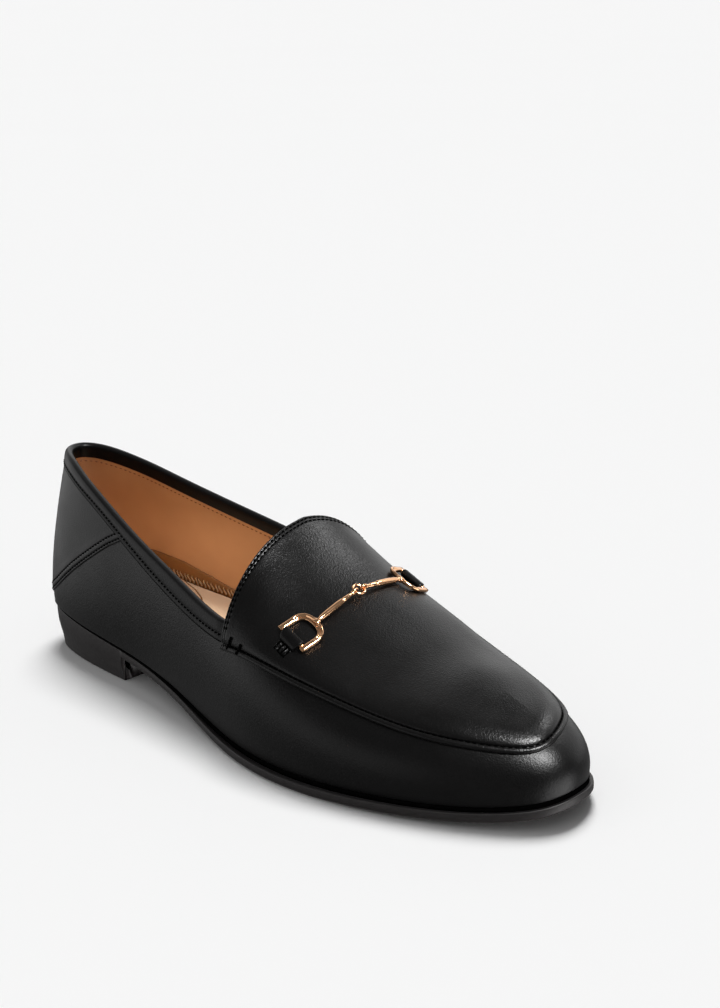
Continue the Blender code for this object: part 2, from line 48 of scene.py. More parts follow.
# ---- the last, as in the part's source, in millimetres from the back of the heel ----
COLUMNS = ("x", "lat", "med", "feather", "swell_lat", "swell_med", "rise", "spine_x", "spine_y", "spine_z",
           "shoulder", "collar_lat", "collar_med", "seam_lat", "seam_med", "edge", "bind", "bed")
STATIONS = (
    ("heel_back",    0.9,   0.0,   0.0, 19.5,  1.9,  1.9,  0.48,  40,  0.0, 120.0, 0.83, 81.8, 81.8, 0.00, 0.00, -1.0, 5.8, 7.5),
    ("heel_diag",    4.5, -15.0,  12.2, 19.35, 1.65, 1.6,  0.37,  41,  0.0, 120.0, 0.49, 81.6, 80.2, 0.00, 0.00, -1.1, 5.8, 7.5),
    ("heel_side",   20.4, -24.0,  21.3, 18.5,  2.05, 1.85, 0.26,  44,  0.0, 119.0, 0.36, 78.3, 76.3, 0.00, 0.00, -1.1, 5.8, 7.5),
    ("heel_front",  47.3, -28.0,  23.7, 16.6,  3.35, 3.3,  0.29,  55,  0.0, 115.0, 0.45, 71.5, 71.2, 0.00, 0.00, -0.9, 5.8, 7.5),
    ("shank",       76.7, -29.9,  26.7, 13.8,  4.9,  5.1,  0.39,  77,  0.5, 108.0, 0.62, 62.4, 63.9, 0.10, 0.10, -0.5, 7.2, 7.5),
    ("waist",      106.0, -34.4,  31.0,  9.8,  4.8,  6.3,  0.45, 103,  1.2,  99.0, 0.72, 54.5, 56.8, 0.19, 0.21,  0.4, 8.6, 6.8),
    ("instep",     133.2, -40.4,  37.0,  5.75, 4.05, 6.3,  0.52, 130,  2.3,  81.3, 0.78, 48.3, 50.4, 0.29, 0.32,  1.6, 7.5, 5.6),
    ("joint_lat",  157.5, -45.6,  39.0,  5.0,  4.35, 5.65, 0.59, 157,  3.3,  61.2, 0.84, 48.2, 48.8, 0.40, 0.42,  2.2, 6.9, 5.0),
    ("ball",       182.2, -46.4,  38.7,  5.0,  4.9,  4.35, 0.61, 182,  3.1,  49.1, 0.84, 50.0, 50.0, 0.46, 0.51,  2.2, 6.9, 4.6),
    ("joint_med",  205.7, -42.9,  36.6,  5.55, 5.0,  3.25, 0.60, 203,  2.3,  41.6, 0.80, 50.0, 50.0, 0.48, 0.54,  1.9, 6.9, 4.3),
    ("toe_root",   229.2, -35.6,  29.2,  6.4,  4.6,  2.85, 0.57, 220,  1.0,  39.2, 0.75, 50.0, 50.0, 0.455, 0.508, 1.6, 6.9, 4.1),
    ("toe_side",   251.0, -24.8,  19.0,  8.05, 3.75, 3.05, 0.56, 232, -0.6,  36.9, 0.72, 50.0, 50.0, 0.462, 0.533, 1.4, 6.9, 4.0),
    ("toe_diag",   263.1, -14.9,   8.3, 10.2,  3.0,  2.95, 0.54, 237, -1.4,  35.7, 0.67, 50.0, 50.0, 0.488, 0.588, 1.25, 6.9, 4.0),
    ("toe_tip",    266.7,  -4.8,  -4.8, 11.6,  2.7,  2.7,  0.54, 238, -1.6,  35.45, 0.63, 50.0, 50.0, 0.55, 0.55, 1.2, 6.9, 4.0),
)
TABLE = {c: np.array([row[1 + i] for row in STATIONS], float) for i, c in enumerate(COLUMNS)}
COUNT = len(STATIONS)

def knots():
    x, lat, med = TABLE["x"], TABLE["lat"], TABLE["med"]
    steps = (np.hypot(np.diff(x), np.diff(lat)) + np.hypot(np.diff(x), np.diff(med))) / 2
    s = np.concatenate([[0], np.cumsum(steps)])
    s /= s[-1]
    return np.concatenate([s / 2, 1 - s[-2:0:-1] / 2])
KNOTS = knots()

def spline_matrix():
    u, n = KNOTS, len(KNOTS)
    h = np.diff(np.append(u, u[0] + 1))
    a, r = np.zeros((n, n)), np.zeros((n, n))
    for i in range(n):
        before, after = h[i - 1], h[i]
        a[i, (i - 1) % n] += before
        a[i, i] += 2 * (before + after)
        a[i, (i + 1) % n] += after
        r[i, (i + 1) % n] += 6 / after
        r[i, i] -= 6 / after + 6 / before
        r[i, (i - 1) % n] += 6 / before
    return np.linalg.solve(a, r), h
CURVATURE, GAPS = spline_matrix()

def around(lat, med, u):
    n = len(KNOTS)
    y = np.concatenate([TABLE[lat], TABLE[med][-2:0:-1]])
    bend = CURVATURE @ y
    q = np.mod(u, 1.0)
    k = np.clip(np.searchsorted(KNOTS, q, side="right") - 1, 0, n - 1)
    h = GAPS[k]
    b = (q - KNOTS[k]) / h
    a = 1 - b
    nxt = (k + 1) % n
    return a * y[k] + b * y[nxt] + ((a**3 - a) * bend[k] + (b**3 - b) * bend[nxt]) * h * h / 6


TABLE["slope"] = np.gradient(TABLE["spine_z"], TABLE["spine_x"])


def feather(u):
    return np.stack([around("x", "x", u), around("lat", "med", u), around("feather", "feather", u)], -1)

def plan_normal(u):
    d = feather(u + 5e-4) - feather(u - 5e-4)
    n = np.stack([d[..., 1], -d[..., 0], 0 * d[..., 0]], -1)
    return n / np.linalg.norm(n, axis=-1, keepdims=True)

def rib(u, t):
    u, t = np.broadcast_arrays(np.asarray(u, float), np.asarray(t, float))
    o, n = feather(u), plan_normal(u)
    c = np.stack([around("spine_" + k, "spine_" + k, u) for k in "xyz"], -1)
    slope = around("slope", "slope", u)
    swell = around("swell_lat", "swell_med", u)[..., None]
    rise = around("rise", "rise", u)
    shoulder = around("shoulder", "shoulder", u)
    p1 = o + n * swell
    p1[..., 2] += rise * (c[..., 2] - o[..., 2])
    d = (o - c) * shoulder[..., None]
    p2 = c + np.stack([d[..., 0], d[..., 1], slope * d[..., 0]], -1)
    t = t[..., None]
    return (1 - t)**3 * o + 3 * (1 - t)**2 * t * p1 + 3 * (1 - t) * t * t * p2 + t**3 * c

def skin(u, t, off=0.0):
    """a point of the last's surface, moved outwards by off"""
    u, t, off = np.broadcast_arrays(np.asarray(u, float), np.asarray(t, float), np.asarray(off, float))
    p = rib(u, t)
    e = 1e-3
    du = rib(u + e, t) - rib(u - e, t)
    dt = rib(u, np.minimum(t + e, 1)) - rib(u, np.maximum(t - e, 0))
    n = np.cross(du, dt)
    n /= np.linalg.norm(n, axis=-1, keepdims=True) + 1e-12
    slope = around("slope", "slope", u)
    top = np.stack([-slope, 0 * slope, 1 + 0 * slope], -1)
    top /= np.linalg.norm(top, axis=-1, keepdims=True)
    w = np.clip((t - 0.94) / 0.06, 0, 1)[..., None]
    w = w * w * (3 - 2 * w)
    n = n * (1 - w) + top * w
    n /= np.linalg.norm(n, axis=-1, keepdims=True)
    return p + n * off[..., None]

def at_height(u, z):
    """t of the rib at u where it reaches the height z"""
    ts = np.linspace(0, 1, 49)
    u, z = np.broadcast_arrays(np.asarray(u, float), np.asarray(z, float))
    zs = rib(u.reshape(-1, 1), ts[None])[..., 2]
    t = np.array([np.interp(v, np.maximum.accumulate(row), ts) for v, row in zip(z.reshape(-1), zs)]).reshape(u.shape)
    for _ in range(2):
        slope = (rib(u, t + 1e-3)[..., 2] - rib(u, t - 1e-3)[..., 2]) / 2e-3
        step = (z - rib(u, t)[..., 2]) / np.maximum(slope, 5.0)
        t = np.clip(t + np.clip(step, -0.012, 0.012), 0, 1)
    return t


def to_row(points):
    points = np.array(points, float).reshape(-1, 3)
    return (points - np.array([BOX_MIDDLE[0], BOX_MIDDLE[1], 0.0])) * MM


def seam_t(u):
    return around("seam_lat", "seam_med", u)


def topline(u):
    return around("collar_lat", "collar_med", u)


def drop_t(u, drop):
    """t of the point this far under the topline"""
    return at_height(u, topline(u) - drop)


def ease(v):
    v = np.clip(v, 0, 1)
    return v * v * (3 - 2 * v)


def speed_t(u, t):
    """millimetres for one unit of t"""
    e = 1e-3
    return np.linalg.norm(rib(u, t + e) - rib(u, t - e), axis=-1) / (2 * e)


def speed_u(u, t):
    e = 1e-4
    return np.linalg.norm(rib(u + e, t) - rib(u - e, t), axis=-1) / (2 * e)


def unit(v):
    v = np.asarray(v, float)
    return v / (np.linalg.norm(v, axis=-1, keepdims=True) + 1e-12)


U_THROAT = float(np.interp(THROAT_X, skin(np.linspace(0.2, 0.32, 400), seam_t(np.linspace(0.2, 0.32, 400)))[:, 0], np.linspace(0.2, 0.32, 400)))


# ---- meshes ----
def grid_faces(n, m, wrap_n, wrap_m, start=0):
    i = np.arange(n if wrap_n else n - 1)
    j = np.arange(m if wrap_m else m - 1)
    i, j = np.meshgrid(i, j, indexing="ij")
    k, l = (i + 1) % n, (j + 1) % m
    return (np.stack([i * m + j, k * m + j, k * m + l, i * m + l], -1).reshape(-1, 4) + start).tolist()


def signed_volume(p, faces):
    total = 0.0
    for f in faces:
        a = p[f[0]]
        for b, c in zip(f[1:-1], f[2:]):
            total += a @ np.cross(p[b], p[c])
    return total


def piece(name, points, faces, looks, slot=None, stands_for=(), smooth=True, turn=True):
    """a mesh piece from points in millimetres on the shoe's axes, riding on the shoe"""
    points = to_row(points)
    if turn:
        pick = faces if len(faces) < 60000 else faces
        if signed_volume(points, pick) < 0:
            faces = [f[::-1] for f in faces]
    mesh = bpy.data.meshes.new(name)
    mesh.from_pydata(points.tolist(), [], faces)
    mesh.polygons.foreach_set("use_smooth", [smooth] * len(mesh.polygons))
    mesh.materials.append(looks)
    mesh.update()
    made = bpy.data.objects.new(name, mesh)
    bpy.context.scene.collection.objects.link(made)
    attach(made, "root")
    if stands_for:
        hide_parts(*stands_for)
    return made


def loop_body(rows, wrap, start=0):
    """points and faces of a section (closed) carried along rows; ends capped unless it closes on itself"""
    n, m = rows.shape[:2]
    faces = grid_faces(n, m, wrap, True, start)
    if not wrap:
        faces.append(list(range(start, start + m)))
        faces.append(list(range(start + (n - 1) * m, start + n * m))[::-1])
    return rows.reshape(-1, 3), faces


def tube(path, radii, sides=8, ups=None, closed=False, start=0, squash=1.0):
    path = np.array(path, float)
    n = len(path)
    radii = np.broadcast_to(np.asarray(radii, float), (n,))
    tangent = unit(np.roll(path, -1, 0) - np.roll(path, 1, 0)) if closed else unit(np.gradient(path, axis=0))
    up = np.broadcast_to(np.array([0, 0, 1.0]) if ups is None else np.asarray(ups, float), (n, 3))
    up = up - tangent * np.sum(up * tangent, -1, keepdims=True)
    bad = np.linalg.norm(up, axis=-1) < 1e-6
    if bad.any():
        up = np.where(bad[:, None], unit(np.cross(tangent, [0.3, 0.9, 0.1])), up)
    up = unit(up)
    side = np.cross(tangent, up)
    a = np.arange(sides) * 2 * math.pi / sides
    rows = path[:, None] + radii[:, None, None] * (side[:, None] * np.cos(a)[None, :, None] + up[:, None] * np.sin(a)[None, :, None] * squash)
    return loop_body(rows, closed, start)


def many(parts):
    """several closed bodies as one mesh: parts is a list of (points, faces) with faces counted from 0"""
    points, faces, start = [], [], 0
    for p, f in parts:
        if signed_volume(np.asarray(p), f) < 0:
            f = [g[::-1] for g in f]
        points.append(p)
        faces += [[v + start for v in g] for g in f]
        start += len(p)
    return np.concatenate(points), faces


def resample(path, pitch):
    """points along a path at an even pitch, and the path's length"""
    seg = np.linalg.norm(np.diff(path, axis=0), axis=1)
    s = np.concatenate([[0], np.cumsum(seg)])
    n = max(2, int(round(s[-1] / pitch)))
    at = (np.arange(n) + 0.5) * s[-1] / n
    return np.stack([np.interp(at, s, path[:, k]) for k in range(path.shape[1])], -1), s[-1] / n


CAP = (0.0, 0.55, 0.95, 1.0, 0.95, 0.55, 0.0)


def stitch_row(path, normals, pitch, length, radius, lift=0.0, sink=0.6, sides=5, jitter=0.0):
    """thread dashes along a path on the leather; each dips into its two holes"""
    both, step = resample(np.concatenate([path, normals], 1), pitch)
    mid, up = both[:, :3], unit(both[:, 3:])
    along = unit(np.gradient(mid, axis=0))
    rng = np.random.default_rng(len(mid))
    k = len(CAP)
    s = np.linspace(-0.5, 0.5, k)
    a = np.arange(sides) * 2 * math.pi / sides
    n = len(mid)
    reach = length * (1 + jitter * rng.uniform(-1, 1, n))
    bow = (1 - (2 * s) ** 4) * (sink * radius) + lift - 0.25 * radius
    centre = mid[:, None] + along[:, None] * (s[None, :, None] * reach[:, None, None]) + up[:, None] * bow[None, :, None]
    side = unit(np.cross(along, up))
    r = radius * np.maximum(np.array(CAP), 0.12)
    ring_ = side[:, None, None] * np.cos(a)[None, None, :, None] + up[:, None, None] * np.sin(a)[None, None, :, None]
    pts = centre[:, :, None] + ring_ * r[None, :, None, None]
    points, faces = [], []
    for i in range(n):
        p, f = loop_body(pts[i], False, i * k * sides)
        points.append(p)
        faces += f
    return np.concatenate(points), faces


def join_sets(sets):
    points, faces, start = [], [], 0
    for p, f in sets:
        points.append(p)
        faces += [[v + start for v in g] for g in f]
        start += len(p)
    return np.concatenate(points), faces


# ---- looks ----
def new_material(name):
    made = bpy.data.materials.new(name)
    made.use_nodes = True
    tree = made.node_tree
    shader = tree.nodes["Principled BSDF"]
    return made, tree, shader


def node(tree, kind, **settings):
    made = tree.nodes.new(kind)
    for key, value in settings.items():
        setattr(made, key, value)
    return made


def place(tree):
    return node(tree, "ShaderNodeTexCoord").outputs["Object"]


def noise(tree, where, scale, detail=3.0, rough=0.5):
    made = node(tree, "ShaderNodeTexNoise")
    made.inputs["Scale"].default_value = scale
    made.inputs["Detail"].default_value = detail
    made.inputs["Roughness"].default_value = rough
    tree.links.new(where, made.inputs["Vector"])
    return made.outputs["Fac"]


def spread(tree, value, low, high, to_low, to_high):
    made = node(tree, "ShaderNodeMapRange")
    for key, v in (("From Min", low), ("From Max", high), ("To Min", to_low), ("To Max", to_high)):
        made.inputs[key].default_value = v
    tree.links.new(value, made.inputs["Value"])
    return made.outputs["Result"]


def mixed(tree, value, a, b):
    made = node(tree, "ShaderNodeMix", data_type="RGBA")
    made.inputs["A"].default_value = (*a, 1)
    made.inputs["B"].default_value = (*b, 1)
    tree.links.new(value, made.inputs["Factor"])
    return made.outputs["Result"]


def bump(tree, value, strength, distance, before=None):
    made = node(tree, "ShaderNodeBump")
    made.inputs["Strength"].default_value = strength
    made.inputs["Distance"].default_value = distance
    tree.links.new(value, made.inputs["Height"])
    if before is not None:
        tree.links.new(before, made.inputs["Normal"])
    return made.outputs["Normal"]


def leather(name, dark, light, rough, specular, grain=0.35, coat=0.0, cell=0.7, sheen=0.0):
    """smooth calf: a fine pebbled grain, a little unevenness in the finish, and a worn-in cloudiness"""
    made, tree, shader = new_material(name)
    where = place(tree)
    cloud = noise(tree, where, 28.0, 3.0, 0.55)
    tree.links.new(mixed(tree, spread(tree, cloud, 0.3, 0.7, 0, 1), dark, light), shader.inputs["Base Color"])
    tree.links.new(spread(tree, noise(tree, where, 60.0, 4.0, 0.6), 0.25, 0.75, rough - 0.045, rough + 0.045), shader.inputs["Roughness"])
    cells = node(tree, "ShaderNodeTexVoronoi", feature="SMOOTH_F1")
    cells.inputs["Scale"].default_value = 1000.0 / cell
    cells.inputs["Smoothness"].default_value = 0.6
    warped = node(tree, "ShaderNodeMix", data_type="VECTOR")
    warped.inputs["Factor"].default_value = 0.0016
    tree.links.new(where, warped.inputs["A"])
    drift = node(tree, "ShaderNodeTexNoise")
    drift.inputs["Scale"].default_value = 500.0
    tree.links.new(where, drift.inputs["Vector"])
    tree.links.new(drift.outputs["Color"], warped.inputs["B"])
    tree.links.new(warped.outputs["Result"], cells.inputs["Vector"])
    first = bump(tree, cells.outputs["Distance"], grain, 0.00015)
    second = bump(tree, noise(tree, where, 2600.0, 2.0, 0.6), grain * 0.6, 0.00008, first)
    third = bump(tree, noise(tree, where, 55.0, 2.0, 0.5), 0.12, 0.0006, second)
    tree.links.new(third, shader.inputs["Normal"])
    shader.inputs["Specular IOR Level"].default_value = specular
    shader.inputs["Coat Weight"].default_value = coat
    shader.inputs["Coat Roughness"].default_value = 0.3
    shader.inputs["Sheen Weight"].default_value = sheen
    return made


def plain(name, dark, light, rough, specular, scale=900.0, depth=0.00004, strength=0.3, metallic=0.0):
    made, tree, shader = new_material(name)
    where = place(tree)
    tree.links.new(mixed(tree, spread(tree, noise(tree, where, scale * 0.12, 3.0), 0.3, 0.7, 0, 1), dark, light), shader.inputs["Base Color"])
    tree.links.new(spread(tree, noise(tree, where, scale * 0.3, 3.0), 0.3, 0.7, rough - 0.05, rough + 0.05), shader.inputs["Roughness"])
    tree.links.new(bump(tree, noise(tree, where, scale, 4.0, 0.6), strength, depth), shader.inputs["Normal"])
    shader.inputs["Specular IOR Level"].default_value = specular
    shader.inputs["Metallic"].default_value = metallic
    return made


UPPER = leather("upper_calf", (0.0034, 0.0032, 0.0033), (0.0048, 0.0046, 0.0047), 0.35, 0.165, 0.36, 0.0, 0.5)
APRON = leather("apron_calf", (0.0032, 0.003, 0.003), (0.0045, 0.0042, 0.0042), 0.32, 0.2, 0.45, 0.0, 0.52)
BINDING = leather("binding_calf", (0.0044, 0.0042, 0.0043), (0.0058, 0.0056, 0.0057), 0.36, 0.125, 0.25)
# near-black thread for the stitches; the same material paints the shadow line under the binding's edge and the shadow
# in the welt groove
THREAD_AND_SHADE = plain("black_thread_and_shade", (0.0015, 0.0015, 0.0015), (0.003, 0.003, 0.003), 0.9, 0.0, 5000.0, 0.00003, 0.5)
RUBBER = plain("sole_black", (0.0145, 0.0118, 0.0118), (0.018, 0.0148, 0.0148), 0.5, 0.28, 2500.0, 0.00002, 0.25)
GOLD = plain("rose_gold", (0.78, 0.44, 0.24), (0.82, 0.47, 0.26), 0.17, 0.5, 400.0, 0.000001, 0.02, 1.0)
LINING = leather("tan_lining", (0.62, 0.32, 0.14), (0.72, 0.385, 0.175), 0.58, 0.25, 0.3, 0.0, 0.5, 0.05)
STRIP = leather("brown_strip", (0.26, 0.115, 0.03), (0.34, 0.155, 0.045), 0.6, 0.2, 0.3, 0.0, 0.5)
CREAM = leather("cream_insole", (0.86, 0.63, 0.42), (0.9, 0.69, 0.47), 0.6, 0.25, 0.25, 0.0, 0.5)
CREAM_THREAD = plain("golden_thread", (0.34, 0.16, 0.04), (0.62, 0.34, 0.12), 0.7, 0.3, 4000.0, 0.00003, 0.5)
TAN_THREAD = plain("tan_thread", (0.26, 0.1, 0.04), (0.32, 0.13, 0.05), 0.7, 0.3, 4000.0, 0.00003, 0.5)


# ---- upper: quarters and vamp skirt ----
def skirt():
    u = np.arange(640) / 640.0
    reach = feather(u)[:, 0]
    rear_top = drop_t(u, around("bind", "bind", u) - 2.6)
    front_top = seam_t(u) + 1.1 / speed_t(u, seam_t(u))
    w = ease((reach - 133.0) / 8.0)
    end = rear_top * (1 - w) + front_top * w
    share = np.linspace(0, 1, 74) ** 1.08
    t = end[:, None] * share[None]
    wide = np.sin(u * 2 * math.pi * 3 + 0.7)[:, None] * np.sin(t * 5 + 1.3) * 0.07
    # soft folds in the medial quarter, behind the throat
    med = (np.cos((u - 0.72) * 2 * math.pi) > 0.9)[:, None]
    folds = 0.0
    for at, height, long, tilt, deep in ((0.742, 0.14, 0.02, 10.0, 0.34), (0.764, 0.18, 0.024, 8.0, 0.26), (0.722, 0.1, 0.017, 12.0, 0.22)):
        line = (u[:, None] - at) * 90 + (t - height) * tilt
        folds = folds - deep * np.exp(-(line ** 2) * 2.2) * np.exp(-((t - height) / 0.12) ** 2)
    outside = skin(u[:, None], t, wide * ease(share * 6)[None] + folds)
    turn = []
    low = feather(u)
    n = plan_normal(u)
    for inward, down in ((2.6, 0.42), (1.3, 0.4), (0.5, 0.32), (0.15, 0.16)):
        p = low - n * inward
        p[:, 2] -= down
        turn.append(p)
    inside = skin(u[:, None], end[:, None] * np.linspace(1, 0.02, 16)[None], -1.15)
    rows = np.concatenate([np.stack(turn, 1), outside, inside], 1)
    return piece("upper_quarters", *loop_body(rows, True), UPPER, "upper_leather", ("upper",))


# counter: its lower front edge, as height against the position of the lower edge of the upper
COUNTER_X = (0.9, 4.5, 10.0, 17.4, 24.5, 31.2, 39.0, 47.2, 56.4, 65.4, 72.0)
COUNTER_Z = (20.9, 21.4, 23.7, 28.5, 34.1, 39.1, 44.2, 49.3, 54.7, 58.9, 61.4)
COUNTER_PROUD = 0.42
ROWS_AT = (1.0, 3.3)     # its two stitch rows, from that edge


def counter_line(u):
    x = feather(u)[:, 0]
    z = np.interp(x, COUNTER_X, COUNTER_Z)
    e = 2e-3
    for _ in range(2):
        z = (np.interp(feather(u + e)[:, 0], COUNTER_X, COUNTER_Z) + np.interp(feather(u - e)[:, 0], COUNTER_X, COUNTER_Z) + z) / 3
    return z


def counter():
    span = 0.1375
    u = np.linspace(-span, span, 260)
    z = counter_line(u)
    path = skin(u, at_height(u, z))
    slope = np.gradient(path[:, 2]) / (np.linalg.norm(np.gradient(path[:, :2], axis=0), axis=1) + 1e-9)
    tall = np.sqrt(1 + slope ** 2)
    ceiling = topline(u) - around("bind", "bind", u) + 2.2
    a, b = ROWS_AT
    section = [(0.6, 0.02), (0.1, 0.1), (-0.03, 0.2), (0.02, 0.36), (0.2, COUNTER_PROUD + 0.05), (0.6, COUNTER_PROUD + 0.07), (a - 0.22, COUNTER_PROUD), (a, COUNTER_PROUD - 0.2), (a + 0.22, COUNTER_PROUD),
               (a + 0.7, COUNTER_PROUD + 0.1), (b - 0.7, COUNTER_PROUD + 0.1), (b - 0.22, COUNTER_PROUD), (b, COUNTER_PROUD - 0.2), (b + 0.25, COUNTER_PROUD - 0.04), (b + 0.8, COUNTER_PROUD), (b + 2.5, COUNTER_PROUD - 0.12)]
    rows = []
    for d, off in section:
        rows.append(skin(u, at_height(u, np.minimum(z + d * tall, ceiling)), off))
    start = np.minimum(z + 5.8 * tall, ceiling)
    for k in np.linspace(0.06, 1, 26):
        rows.append(skin(u, at_height(u, start + (ceiling - start) * k), COUNTER_PROUD - 0.14))
    rows.append(skin(u, at_height(u, ceiling), -0.1))
    for k in (0.66, 0.33):
        rows.append(skin(u, at_height(u, z + (ceiling - z) * k), -0.15))
    body = piece("counter", *loop_body(np.stack(rows, 1), False), UPPER, "upper_leather")
    sets = []
    for at in ROWS_AT:
        ok = z + at * tall < ceiling - 2.0
        v = u[ok]
        t = at_height(v, (z + at * tall)[ok])
        p = skin(v, t, COUNTER_PROUD - 0.06)
        sets.append(stitch_row(p, skin(v, t, 1.0) - skin(v, t, 0.0), 2.1, 1.5, 0.3))
    piece("counter_stitches", *join_sets(sets), THREAD_AND_SHADE, "upper_leather")
    return body


# ---- collar binding ----
def binding():
    stop = U_THROAT - 0.15 / speed_u(np.array([U_THROAT]), np.array([0.4]))[0]
    u = np.concatenate([-np.linspace(stop, 0, 250, endpoint=False), np.linspace(0, stop, 250)])
    deep = around("bind", "bind", u) + 0.15
    row = deep - 1.15 - 0.85 * ease((feather(u)[:, 0] - 20) / 60.0)
    near = 1 - 0.45 * ease((feather(u)[:, 0] - 134.5) / 5.0)
    section = [
        (deep - 0.9, 0.02), (deep - 0.2, 0.1), (deep, 0.24), (deep - 0.05, 0.44), (deep - 0.3, 0.56), (deep - 0.7, 0.56),
        (row + 0.36, 0.48), (row, 0.3), (row - 0.36, 0.5), (row - 0.75, 0.62), (row * 0.72, 0.74), (row * 0.5, 0.8), (row * 0.28, 0.78),
        (1.0, 0.7), (0.55, 0.48), (0.2, 0.12), (0.03, -0.35), (0.0, -0.85), (0.06, -1.35), (0.25, -1.8), (0.6, -2.15), (1.2, -2.35), (2.6, -2.45),
        (4.4, -2.4), (5.4, -2.35), (5.8, -2.25), (5.9, -2.0), (5.8, -1.5), (deep * 0.9, -0.9)]
    rows = []
    for drop, off in section:
        t = drop_t(u, drop)
        rows.append(skin(u, t, np.where(off > 0, off * near, off)))
    body = piece("collar_roll", *loop_body(np.stack(rows, 1), False), BINDING, "binding_leather", ("collar_binding",))
    sets = []
    v = u[3:-3]
    t = drop_t(v, row[3:-3])
    up = skin(v, t, 1.0) - skin(v, t, 0.0)
    sets.append(stitch_row(skin(v, t, 0.4), up, 2.15, 1.5, 0.32))
    piece("collar_stitches", *join_sets(sets), THREAD_AND_SHADE, "binding_leather")
    # a thin black cord along the binding's lower edge: a painted shadow line under that edge
    edge_at = drop_t(v, deep[3:-3] + 0.1)
    piece("collar_edge_shadow_line", *tube(skin(v, edge_at, 0.16), 0.3, 6, skin(v, edge_at, 1.0) - skin(v, edge_at, 0.0)), THREAD_AND_SHADE, "binding_leather")
    t = drop_t(v, 7.4)
    piece("lining_stitches", *stitch_row(skin(v, t, -2.12), skin(v, t, 0.0) - skin(v, t, 1.0), 2.2, 1.3, 0.2), TAN_THREAD, "insole_leather")
    return body


# ---- apron and tongue ----
LIP = ((0.9, -0.5), (-0.2, -0.4), (-0.62, -0.18), (-0.9, 0.12), (-1.0, 0.5), (-0.93, 0.88), (-0.68, 1.16), (-0.3, 1.3), (0.1, 1.34), (0.45, 1.3), (0.7, 1.12), (0.8, 0.7), (0.95, 0.34), (1.12, 0.26), (1.3, 0.36),
       (1.45, 0.62), (1.7, 0.82), (2.2, 1.04), (3.0, 1.26), (4.2, 1.42), (6.0, 1.44))
LIP_ROW = 13
EDGE = ((0.0, -0.95), (0.02, -0.45), (0.14, 0.0), (0.36, 0.14), (0.6, 0.16), (0.85, 0.08), (1.05, -0.06), (1.25, 0.08), (1.5, 0.16), (1.9, 0.18), (2.2, 0.14), (2.4, -0.04), (2.6, 0.12), (2.9, 0.16), (3.6, 0.15), (5.0, 0.05))
CROWN = 0.55


def apron_grid(side, share_rows=110, share_columns=40):
    """u, t and lift of the apron's outer face: rows from the tongue's edge to the toe, columns from the seam to the ridge"""
    first = U_THROAT
    e = np.array([k for k, _ in EDGE])
    lip = np.array([k for k, _ in LIP])
    columns = len(lip) + share_columns
    rest = np.linspace(0, 1, share_columns + 1)[1:]
    sign = 1.0 if side == "lateral" else -1.0

    def real(u):
        return u if sign > 0 else 1 - u

    def t_of(u):
        s = seam_t(real(u))
        near = s[:, None] + lip[None] / speed_t(real(u), s)[:, None]
        last = near[:, -1:]
        return np.concatenate([near, last + (1 - last) * rest[None]], 1)

    at_edge = t_of(np.full(1, first))[0]
    run = speed_u(np.full(columns, real(first)), np.clip(at_edge, 0.02, 1.0))
    near_u = first + e[:, None] / run[None]
    s = np.linspace(0, 1, share_rows + 1)[1:]
    s = s + 0.12 * np.sin(math.pi * s) * (s - 1) * -0.0
    far_u = near_u[-1:] + (0.5 - near_u[-1:]) * s[:, None]
    u = np.concatenate([near_u, far_u])
    t = np.empty_like(u)
    for i in range(len(u)):
        whole = t_of(u[i])
        t[i] = whole[np.arange(columns), np.arange(columns)]
    lift = np.concatenate([[h for _, h in LIP], CROWN + (LIP[-1][1] - CROWN) * np.exp(-(rest * 3.2) ** 2)])
    lift = np.broadcast_to(lift[None], u.shape).copy()
    edge = np.array([h for _, h in EDGE])
    lift[: len(e)] += edge[:, None] * np.where(lift[: len(e)] < 0.0, 0.3, 1.0)
    along = np.clip((u - first) / (0.5 - first), 0, 1)
    lift += 0.10 * np.sin(along * 9 + 1.0) * np.sin(t * 6) * ease((t - 0.5) * 4)
    return real(u), t, lift


